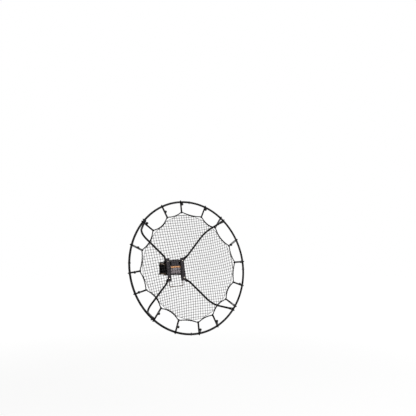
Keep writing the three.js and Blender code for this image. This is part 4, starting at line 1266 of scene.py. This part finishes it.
pivot_grip = FLANGE_MIDDLE + SHEET / 2 + SEAT_GAP - (EAR_INNER - SEAT_GAP)
pivot_length = pivot_grip + PIVOT_NUT[1] + PIVOT_TAIL
pivot_bolt = bolt(
    hex_head(*PIVOT_HEAD), PIVOT_BOLT, PIVOT_PITCH, pivot_grip - PIVOT_INTO_GRIP, pivot_length,
)
pivot_nut = moved(nut(*PIVOT_NUT, PIVOT_BOLT), shifted(0, 0, pivot_grip))
for word, side in SIDES:
    place = shifted(side * (EAR_INNER - SEAT_GAP), pivot[1], pivot[2]) @ turned("Y", side * math.pi / 2)
    add_piece(f"pivot_screw_{word}", pivot_bolt, zinc, "pole_clamp", f"pivot_bolt_{word}", place)
    add_piece(f"pivot_lock_nut_{word}", pivot_nut, zinc, "pole_clamp", f"pivot_nut_{word}", place)
print("clamp bolts", round(clamp_length, 1), "mm long, pivot bolts", round(pivot_length, 1), "mm")

# %% [markdown]
# ## Release bail and latch springs
#
# The bail is one wire bent to a handle, whose turned-in ends are the pins of the latch. Two
# springs hook under the pins and pull them up. A coil is a point that goes round as it climbs,
# and its hooks are drawn on the same path, so that the spring stays one unbroken wire.
# %% Bail and springs

BAIL_HALF = 74
BAIL_DROP = 236
BAIL_BENDS = (6, 10)
PIN_TIP = EAR_INNER - 2.5
PIN_BLUNT = 1.0
SPRING_WIRE = 1.6
SPRING_X = 66
COIL_RADIUS = 3
CURLS = 15
CURL_STEPS = 20
SPRING_LEAD = 3.5
SPRING_ANCHOR = -17
SPRING_TURN = 1.6


def blunt_ends(along, radius, reach):
    """Half widths that round off both ends of a rod over a short reach, as a quarter circle does."""
    near = np.clip(np.minimum(along, along[-1] - along) / reach, 0, 1)
    return radius - reach * (1 - round_tip(near))


def release_bail():
    """The wire's path: in from a pin, down a leg, across the foot and back up to the other pin."""
    half = [
        ((PIN_TIP, 0, -LATCH_DROP), 0), ((BAIL_HALF, 0, -LATCH_DROP), BAIL_BENDS[0]),
        ((BAIL_HALF, 0, -BAIL_DROP), BAIL_BENDS[1]),
    ]
    other = [((-x, y, z), radius) for (x, y, z), radius in half[::-1]]
    tips = PIN_BLUNT * np.array([0, 0.1, 0.3, 0.6, 1])
    path, places = with_tips(evenly(bent_path(half + other, step=1.0), 4), tips)
    return tube(path, (0, 1, 0), blunt_ends(places, PIN_RADIUS, PIN_BLUNT), 24)


add_piece(
    "bail_handle", release_bail(), bail_finish, "bail", "release_bail", YOKE, crease=TUBE_CREASE,
)


def latch_spring(side):
    """The spring's wire: half a circle under the pin, the coil, and a short end turned into the flange."""
    hook = PIN_RADIUS + SEAT_GAP + SPRING_WIRE / 2
    sweep = np.linspace(0, math.pi, 17)
    under = np.stack([0 * sweep, -hook * np.cos(sweep), -LATCH_DROP - hook * np.sin(sweep)], axis=-1)
    foot = -LATCH_DROP + hook + SPRING_LEAD
    top = SPRING_ANCHOR - SPRING_LEAD
    share = np.linspace(0, 1, CURL_STEPS * CURLS + 1)
    spin = share * CURLS * FULL_TURN
    across, depth = side * COIL_RADIUS * np.sin(spin), COIL_RADIUS * np.cos(spin)
    coil = np.stack([across, depth, foot + (top - foot) * share], axis=-1)
    flange = side * (FLANGE_MIDDLE - SHEET / 2 - SPRING_X)
    anchor = ((0, COIL_RADIUS, SPRING_ANCHOR), SPRING_TURN)
    end = bent_path([(coil[-1], 0), anchor, ((flange, COIL_RADIUS, SPRING_ANCHOR), 0)], step=0.6)
    path = np.concatenate([under, coil, end[1:]]) + (side * SPRING_X, 0, 0)
    return tube(path, (1, -1, 1), SPRING_WIRE / 2, 8)


for word, side in SIDES:
    spring = add_piece(
        f"pull_spring_{word}", latch_spring(side), spring_finish, None, f"latch_spring_{word}", YOKE,
        crease=WIRE_CREASE,
    )
    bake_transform(spring)
print("springs have", CURLS, "curls of", SPRING_WIRE, "mm wire")

# %% [markdown]
# ## Border cord
#
# A cord runs round the net. Sixteen bungees pull it out into corners, and between them it sags
# towards the middle under the pull of the net. A simulation would find that sag as well, but an
# even pull gives a parabola, which is one line: the sag times four times the share along the
# span times the rest of the span. A running mean over a few points rounds the corner where the
# cord goes round its bungee. The bungees were pushed along the ring by hand, so each one strays a
# few degrees from its even place, and its head and foot a few millimetres.
# %% Border cord

BUNGEES = 16
BUNGEE_STRAY = [-3.7, -0.4, -2.8, 0.3, -1.9, -2.1, -3.8, -0.7, -3, -2.7, -2.5, 1.3, -2.3, -2.9, -2, -0.5]
BUNGEE_HEAD = [2, 2.5, -9.5, -7.5, 1, 0, 0, 7, 4, 8, 5, 10, -5, 8, 0, 0]
BUNGEE_FOOT = [-3.5, -10, -2, 9, -1, -1, 7.5, 4, -1.5, 2.5, 11, -3.5, 1.5, -6, 7.5, 0]
CORNER_MEAN = 495
CORNER_SPREAD = 12
SAG_MEAN = 19.5
SAG_SPREAD = 9.2
SPAN_POINTS = 40
CORNER_BLUR = 2
CORD_CREASE = 80

bungee_angles = np.arange(BUNGEES) * FULL_TURN / BUNGEES + np.radians(BUNGEE_STRAY)
corner_radii = CORNER_MEAN + CORNER_SPREAD * np.cos(ARM_COUNT * bungee_angles)


def running_mean(values):
    """Each entry of a closed row as the mean of itself and a few on either side."""
    shifts = range(-CORNER_BLUR, CORNER_BLUR + 1)
    return sum(np.roll(values, shift, axis=0) for shift in shifts) / len(shifts)


def border_path():
    """The border's middle line in the ring's plane, from corner to corner with its sag."""
    corners = ring_point(bungee_angles + BUNGEE_FOOT / corner_radii, corner_radii)
    after = np.roll(corners, -1, axis=0)
    next_angles = np.append(bungee_angles[1:], bungee_angles[0] + FULL_TURN)
    sag = SAG_MEAN - SAG_SPREAD * np.cos(ARM_COUNT * (bungee_angles + next_angles) / 2)
    middle = (corners + after) / 2
    inwards = -middle / np.linalg.norm(middle, axis=1, keepdims=True)
    share = np.arange(SPAN_POINTS)[None, :, None] / SPAN_POINTS
    depth = sag[:, None, None] * 4 * share * (1 - share)
    path = corners[:, None] + (after - corners)[:, None] * share + inwards[:, None] * depth
    return running_mean(path.reshape(-1, 3))


border = border_path()
border_piece = add_piece(
    "border_braid", tube(border, (0, 1, 0), BORDER_CORD / 2, 12, loop=True), border_braid, "net_yoke",
    "border_cord", RING, crease=CORD_CREASE,
)
print("border cord", round(lengths(border, loop=True)[-1]), "mm round")

# %% [markdown]
# ## Net
#
# The net is a square lattice of twine with a knot at each crossing, and it ends on a thin edge
# twine inside the border. It was turned a little and pulled unevenly, so its rows rise to the
# right and fan out, and its columns lean. A picture of a net on a flat disc would be quicker, but
# it has no thickness and no knots. So each twine is real, and where each knot went is one smooth
# function of its place in the flat net: a short power series across and another one upwards.
# Between the corners the net's edge follows the border, and at each corner it cuts straight
# across.
# %% Stretch of the net

NET_PITCH = 24
EDGE_TWINE = 3.6
EDGE_SEAT = 6.6
CORNER_CUT = 31
LATTICE_SPARE = 1.15
NET_SAG = 4
KNOT = (3.7, 2.9)
WEAVE = 0.4
END_CLEAR = 2
KNOT_CLEAR = 4
SERIES_REACH = 500
ACROSS_SERIES = [
    [-8.6, -44.9, -48.4, 20.9, 12.9], [507.0, -13.2, 13.6, 26.4, 0], [-38.3, -29.0, 95.0, 0, 0],
    [-8.2, 46.9, 0, 0, 0], [35.9, 0, 0, 0, 0],
]
UP_SERIES = [
    [-14.2, 489.9, 1.4, -8.0, -3.4], [43.2, 23.3, -19.0, -14.4, 0], [-24.3, 40.4, 10.0, 0, 0],
    [19.4, 3.5, 0, 0, 0], [28.4, 0, 0, 0, 0],
]

border_radii = np.linalg.norm(border, axis=1)
from_corners = np.arctan2(border[:, 0], border[:, 2])[:, None] - (bungee_angles + BUNGEE_FOOT / corner_radii)
from_corners = (from_corners + math.pi) % FULL_TURN - math.pi
nearest = np.abs(from_corners).argmin(axis=1)
across_corner = (corner_radii[nearest] - CORNER_CUT) / np.cos(from_corners[np.arange(len(border)), nearest])
inside_edge = running_mean(np.minimum(border_radii - EDGE_SEAT, across_corner))
net_edge = border * (inside_edge / border_radii)[:, None]
edge_angles = np.unwrap(np.arctan2(net_edge[:, 0], net_edge[:, 2]))
edge_radii = np.linalg.norm(net_edge, axis=1)
net_radius = edge_radii.mean()


def edge_share(across, up):
    """How far a place is from the middle, as a share of the way to the net's edge beside it."""
    edge = np.interp(np.arctan2(across, up), edge_angles, edge_radii, period=FULL_TURN)
    return np.hypot(across, up) / edge


def stretched(column, row):
    """Where a place of the flat net lies: the sum of each series' terms times powers of column and row."""
    u, v = column * NET_PITCH / SERIES_REACH, row * NET_PITCH / SERIES_REACH
    across = np.polynomial.polynomial.polyval2d(u, v, ACROSS_SERIES)
    up = np.polynomial.polynomial.polyval2d(u, v, UP_SERIES)
    back = NET_SAG * (1 - np.minimum(edge_share(across, up), 1) ** 2)
    return np.stack([across, back, up], axis=-1)


furthest = round(LATTICE_SPARE * net_radius / NET_PITCH)
lattice = np.arange(-furthest, furthest + 1)
print("net lattice of", len(lattice), "by", len(lattice), "lines, net radius", round(net_radius), "mm")

# %% [markdown]
# Each twine is followed in steps of half a cell, and only what lies inside the edge is kept. Its
# ends are put on the edge itself. Rows and columns pass over each other in turn, and the knots
# are small flattened balls, of few faces because there are more than a thousand.
# %% Twines and knots


def twine_runs(path, places):
    """The parts of a twine inside the net's edge, each with its two ends moved onto the edge."""
    inside = places < 1
    starts = np.flatnonzero(inside[1:] & ~inside[:-1]) + 1
    ends = np.flatnonzero(inside[:-1] & ~inside[1:]) + 1
    runs = []
    for first, last in zip(starts, ends):
        before = (1 - places[first]) / (places[first - 1] - places[first])
        after = (1 - places[last - 1]) / (places[last] - places[last - 1])
        head = path[first] + (path[first - 1] - path[first]) * before
        tail = path[last - 1] + (path[last] - path[last - 1]) * after
        inner = path[first:last]
        gap = np.minimum(np.linalg.norm(inner - head, axis=1), np.linalg.norm(inner - tail, axis=1))
        runs.append(np.concatenate([[head], inner[gap > END_CLEAR], [tail]]))
    return [run for run in runs if len(run) > 2]


def net_lines():
    """Every column's and every row's twine, woven by a cosine that changes sign at each crossing."""
    along = np.arange(-2 * furthest, 2 * furthest + 1) / 2
    runs = []
    for line in lattice:
        for upright in (True, False):
            fixed = line + 0 * along
            path = stretched(fixed, along) if upright else stretched(along, fixed)
            places = edge_share(path[:, 0], path[:, 2])
            path[:, 1] += (WEAVE if upright else -WEAVE) * np.cos((along + line) * math.pi)
            runs += twine_runs(path, places)
    return runs


def knots():
    """A small flattened ball at every crossing: six points round and three rings of them."""
    column, row = np.meshgrid(lattice, lattice)
    places = stretched(column.ravel(), row.ravel())
    places = places[edge_share(places[:, 0], places[:, 2]) < 1 - KNOT_CLEAR / net_radius]
    around = np.arange(6) / 6 * FULL_TURN
    levels = np.array([-0.7, 0, 0.7])
    ring = np.sqrt(1 - levels**2)
    unit = np.stack([
        ring[:, None] * np.cos(around) * KNOT[0],
        levels[:, None] * KNOT[1] + 0 * around,
        -ring[:, None] * np.sin(around) * KNOT[0],
    ], axis=-1)
    grid_points, grid_faces, _ = shell_of(unit, np.arange(3.0), np.arange(7.0))
    one = grid_faces + [list(range(6))[::-1], list(range(12, 18))]
    points = (places[:, None, :] + grid_points[None]).reshape(-1, 3)
    faces = [[i + 18 * k for i in face] for k in range(len(places)) for face in one]
    turns = np.arange(sum(len(face) for face in one)) % 6
    corners = np.stack([turns * 1.0, turns * 0.5], axis=-1)
    return (points, faces, np.tile(corners, (len(places), 1))), len(places)


net_paths = net_lines()
knot_shell, knot_count = knots()
twine_shells = [tube(path, (0, 1, 0), TWINE / 2, 6) for path in net_paths]
net_shell = together([*twine_shells, knot_shell])
net_piece = add_piece(
    "net_mesh", net_shell, net_twine, "net_yoke", "net", RING, crease=CORD_CREASE,
)
edge_path = net_edge[::2]
edge_piece = add_piece(
    "net_edge_twine", tube(edge_path, (0, 1, 0), EDGE_TWINE / 2, 8, loop=True), net_twine, "net_yoke",
    matrix=RING, crease=CORD_CREASE,
)
twine_total = sum(lengths(path)[-1] for path in net_paths)
print("net:", len(net_paths), "twines,", knot_count, "knots,", round(twine_total * MM, 1), "m of twine")

# %% [markdown]
# A thin lacing ties the net's edge to the border, as on a net that is sewn in. It winds round both,
# and round the border alone at the corners, where the edge lies too far in to reach.
# %% Lacing

LACING_PITCH = 24
LACING_STEPS = 20
LACING_FADE = 3


def lacing_path():
    """A point going round the border: outwards times the cosine, and depth times the sine.

    On its inner half it goes out to the far side of the edge twine, where that lies beside the cord.
    """
    along = lengths(border, loop=True)
    count = round(along[-1] / LACING_PITCH) * LACING_STEPS
    places = np.arange(count) / count * along[-1]
    ends = np.column_stack([border, border_radii - inside_edge])
    ends = np.vstack([ends, ends[:1]])
    x, y, z, gap = (np.interp(places, along, ends[:, i]) for i in range(4))
    middle = np.stack([x, y, z], axis=-1)
    run = headings(middle, loop=True)
    spin = np.arange(count) / LACING_STEPS * FULL_TURN
    clear = (BORDER_CORD + LACING) / 2
    share = np.clip(EDGE_SEAT + LACING_FADE - gap, 0, 1) * (np.cos(spin) < 0)
    reach = clear + (gap + (EDGE_TWINE + LACING) / 2 - clear) * share
    outwards = np.cross(run, (0, 1, 0)) * (reach * np.cos(spin))[:, None]
    return middle + outwards + np.array([0, 1, 0]) * (clear * np.sin(spin))[:, None], run


lacing_middle, lacing_run = lacing_path()
lacing_shell = tube(lacing_middle, lacing_run, LACING / 2, 6, loop=True)
lacing_piece = add_piece(
    "net_lacing", lacing_shell, lacing_twine, "net_yoke", matrix=RING, crease=CORD_CREASE,
)
lacing_total = lengths(lacing_middle, loop=True)[-1]
print("lacing:", round(lacing_total * MM, 2), "m in", len(lacing_middle) // LACING_STEPS, "turns")

# %% [markdown]
# The net was cut to a round of about its stretched width. Its own area is that of its twine, laid flat,
# because the rest of it is holes.
# %% The net's cut and area

# %% [markdown]
# ## Bungees
#
# Each bungee is one elastic loop, passed round the ring and round the border's corner. Seen from
# the side, the cord runs on the two circles it goes round and straight between the points where
# it leaves them. It is taut, so that is its whole shape, and no curve has to be pulled about by
# hand. Its two runs lie crossed or side by side, as each bungee was left.
# %% Bungee loops

HEAD_LAY = [-4.4, -3.2, -1.3, 2.0, -2.7, 0.3, -0.1, 4.2, 4.4, 3.4, 1.3, -2.1, 2.8, -0.2, -2.7, -4.2]
FOOT_LAY = [-1.2, -0.5, 0.7, 2.7, -3.1, -1.3, 0.5, 1.0, 1.2, 0.6, -0.7, -2.8, 3.2, 1.4, -0.2, -1.0]
CORNER_SLACK = 1.4
RUN_STEPS = 24
RUN_START = 0.04


def bungee_run(k):
    """The loop's middle line: over the ring, down the back, round the border, and up the front.

    Its place along the ring goes evenly from its foot's to its head's. The front run lies to one
    side of that by its lay, and the back run as far to the other.
    """
    outer = RING_TUBE / 2 + SEAT_GAP + BUNGEE_CORD / 2
    inner = BORDER_CORD / 2 + SEAT_GAP + BUNGEE_CORD / 2
    seat = corner_radii[k] - CORNER_SLACK
    lean = math.asin((outer - inner) / (RING_RADIUS - seat))
    over = np.linspace(-lean, math.pi + lean, 21)
    under = np.linspace(lean, math.pi - lean, 15)
    cosine = np.cos(over) / math.cos(lean)
    over_ring = np.stack([-outer * np.cos(over), RING_RADIUS + outer * np.sin(over), cosine], axis=-1)
    cosine = -np.cos(under) / math.cos(lean)
    under_cord = np.stack([inner * np.cos(under), seat - inner * np.sin(under), cosine], axis=-1)
    steps = np.linspace(RUN_START, 1 - RUN_START, RUN_STEPS)[:, None]
    back = over_ring[-1] + (under_cord[0] - over_ring[-1]) * steps
    front = under_cord[-1] + (over_ring[0] - under_cord[-1]) * steps
    depth, radius, side = np.concatenate([over_ring, back, under_cord, front]).T
    share = (radius - seat) / (RING_RADIUS - seat)
    lay = FOOT_LAY[k] + (HEAD_LAY[k] - FOOT_LAY[k]) * share
    across = BUNGEE_FOOT[k] + (BUNGEE_HEAD[k] - BUNGEE_FOOT[k]) * share + side * lay
    return np.stack([across, depth, radius], axis=-1)


rounds = [lengths(bungee_run(k), loop=True)[-1] for k in range(BUNGEES)]
print("bungees:", BUNGEES, "of", round(min(rounds)), "to", round(max(rounds)), "mm round")

# %% [markdown]
# A ball sits on the front run of each bungee, which bends through it. Where the ball has rolled
# aside, it hangs from the run by a short neck, and where it was pushed up to the ring, it rests
# against the front of the tube. A plain sphere would let the cord cut through its skin, so the
# ball is an arc turned round its bore, with the faint raised line that its mould leaves.
# %% Balls on their bungees

BALL = 24
BALL_BORE = 8.9
BALL_FROM_RING = [22, 22, 72, 85, 29, 37, 14, 40, 30, 47, 67, 31, 41, 58, 35, 55]
BALL_ASIDE = [11.8, 11.8, 0, 8, 2, -3, 3.7, -5.9, -10, -1, 3.5, 9, -5, 1, 15.5, 3]
BALL_PULL = 16
BESIDE_DEPTH = -6
NECK_BEND = 5
NECK_ABOVE = 0.65
MOULD_LINE = 0.18
MOULD_WIDTH = 0.5
MOUTH_TURN = 0.06
MOUTH_FLARE = 0.25
MOUTH_LIP = 0.1
MOUTH_DEPTH = 0.8


def bungee_cord(k):
    """The cord of one bungee with its neck if it has one, and the place of its ball."""
    path = bungee_run(k)
    front = path[-RUN_STEPS:]
    ball_radius = RING_RADIUS - BALL_FROM_RING[k]
    run_across, run_depth = (np.interp(ball_radius, front[:, 2], front[:, i]) for i in (0, 1))
    beside = abs(BALL_ASIDE[k] - run_across) > BALL / 2
    if beside:
        ball = np.array([BALL_ASIDE[k], BESIDE_DEPTH, ball_radius])
        start = (run_across, run_depth, ball_radius + BALL)
        neck = bent_path([(start, 0), (tuple(ball + (0, 0, NECK_ABOVE * BALL)), NECK_BEND), (tuple(ball), 0)])
        shells = [tube(evenly(neck, 2), (0, 1, 0), BUNGEE_CORD / 2, 10)]
    else:
        touching = (RING_TUBE + BALL) / 2 + SEAT_GAP
        resting = math.sqrt(max(0, touching**2 - BALL_FROM_RING[k] ** 2))
        ball = np.array([BALL_ASIDE[k], min(run_depth, -resting), ball_radius])
        near = np.clip(1 - np.abs(front[:, 2] - ball_radius) / BALL_PULL, 0, 1)
        front[:, :2] += (ball[:2] - front[:, :2]) * eased(near)[:, None]
        shells = []
    return together([tube(path, (1, 0, 0), BUNGEE_CORD / 2, 10, loop=True), *shells]), ball, beside


def ball_shell():
    """A ball with a bore through it: an arc from one end of the bore to the other, then back inside."""
    radius = BALL / 2
    start = math.asin(BALL_BORE / BALL) + MOUTH_TURN
    sweep = np.linspace(start, math.pi - start, 31)
    seam = MOULD_LINE * np.exp(-(((sweep - math.pi / 2) * radius / MOULD_WIDTH) ** 2))
    rows = [((radius + lift) * math.sin(a), -radius * math.cos(a)) for a, lift in zip(sweep, seam)]
    foot, bore = rows[0][1], BALL_BORE / 2
    into = [(bore, foot + MOUTH_DEPTH), (bore + MOUTH_FLARE, foot + MOUTH_LIP)]
    out = [(radius, -height) for radius, height in into[::-1]]
    return around_axis(into + rows + out, loop=True)


hanging = 0
for k in range(BUNGEES):
    place = clocked(bungee_angles[k])
    cord_shell, ball, beside = bungee_cord(k)
    hanging += beside
    add_piece(
        f"bungee_cord_{k + 1}", cord_shell, bungee_braid, "net_yoke",
        f"bungee_{k + 1}", place, crease=CORD_CREASE,
    )
    add_piece(
        f"bungee_ball_{k + 1}", ball_shell(), ball_plastic, "net_yoke",
        matrix=place @ shifted(*ball), crease=TUBE_CREASE,
    )
print("balls", BALL, "mm across,", hanging, "of them beside their loops")

# %% [markdown]
# ## Room and light
#
# The part hangs in a white studio. A pale floor lies where the ground would be. One large soft
# lamp lights the front from the right, so that faces turned left stay dark. Two weaker ones light
# the left and the back. The floor and the world look white to the camera and in reflections,
# while the light they give is left at a plain level. Under the part, a share of the floor's own
# lit surface is mixed in to keep a faint shadow, and further away the floor fades to the same
# white.
# %% Floor, world and lamps

GROUND = -1317
FLOOR_HALF = 12000
SHADOW_REACH = (2, 5)
SHADOW_SHARE = 0.12
AMBIENT = 0.32
GLOW = 1.02


def seen_directly(tree):
    """One where the camera, a reflection or a clear view sees a surface, and zero for diffuse light."""
    path = add_node(tree, "LightPath")
    share = path["Is Camera Ray"]
    for kind in ("Is Glossy Ray", "Is Transmission Ray"):
        share = add_node(tree, "Math", {0: share, 1: path[kind]}, operation="MAXIMUM")[0]
    return share


floor_mesh = bpy.data.meshes.new("floor")
half = FLOOR_HALF * MM
floor_corners = [(-half, -half), (half, -half), (half, half), (-half, half)]
floor_mesh.from_pydata([(x, y, GROUND * MM) for x, y in floor_corners], [], [(0, 1, 2, 3)])
floor = bpy.data.objects.new("floor", floor_mesh)
bpy.context.scene.collection.objects.link(floor)
floor_finish, floor_tree, floor_shader = start_finish("pale_floor")
pale = {"Base Color": linear("e4e4e2"), "Roughness": 0.9, "Specular IOR Level": 0.0}
set_inputs(floor_tree, floor_shader, pale)
glow = add_node(floor_tree, "Emission", {"Color": linear("ffffff"), "Strength": GLOW})
floor_spot = add_node(floor_tree, "TexCoord")["Object"]
away = add_node(floor_tree, "VectorMath", {0: floor_spot}, operation="LENGTH")["Value"]
fading = {"From Min": SHADOW_REACH[0], "From Max": SHADOW_REACH[1], "To Min": 1 - SHADOW_SHARE}
white = add_node(floor_tree, "MapRange", {"Value": away, **fading}, interpolation_type="SMOOTHSTEP")
seen = add_node(floor_tree, "Math", {0: seen_directly(floor_tree), 1: white["Result"]}, operation="MULTIPLY")
blend = add_node(floor_tree, "MixShader", {0: seen[0], 1: floor_shader.outputs[0], 2: glow[0]})
set_inputs(floor_tree, floor_tree.nodes["Material Output"], {"Surface": blend[0]})
floor_mesh.materials.append(floor_finish)

world = bpy.data.worlds.new("studio")
bpy.context.scene.world = world
world.use_nodes = True
sky = world.node_tree
level = add_node(sky, "MapRange", {"Value": seen_directly(sky), "To Min": AMBIENT})
set_inputs(sky, sky.nodes["Background"], {"Color": linear("ffffff"), "Strength": level["Result"]})

LAMPS = {
    "key": ((1.9, -3.6, 2.2), 2.2, 165),
    "fill": ((-3.2, -2.4, 1.2), 2.5, 14),
    "back": ((1.5, 3.4, 1.6), 2.0, 40),
}
for name, (spot, size, watts) in LAMPS.items():
    lamp_data = bpy.data.lights.new(name, "AREA")
    lamp_data.shape = "DISK"
    lamp_data.size = size
    lamp_data.energy = watts
    lamp = bpy.data.objects.new(name, lamp_data)
    lamp.location = spot
    lamp.rotation_euler = (-Vector(spot)).to_track_quat("-Z", "Y").to_euler()
    bpy.context.scene.collection.objects.link(lamp)
bpy.context.scene.view_settings.view_transform = "Standard"
print("lamps:", ", ".join(LAMPS))

# %% [markdown]
# ## Finish
#
# The view layer is brought up to date at the end. The dressed part must stay as large as the
# frame.
# %% Last update
bpy.context.view_layer.update()
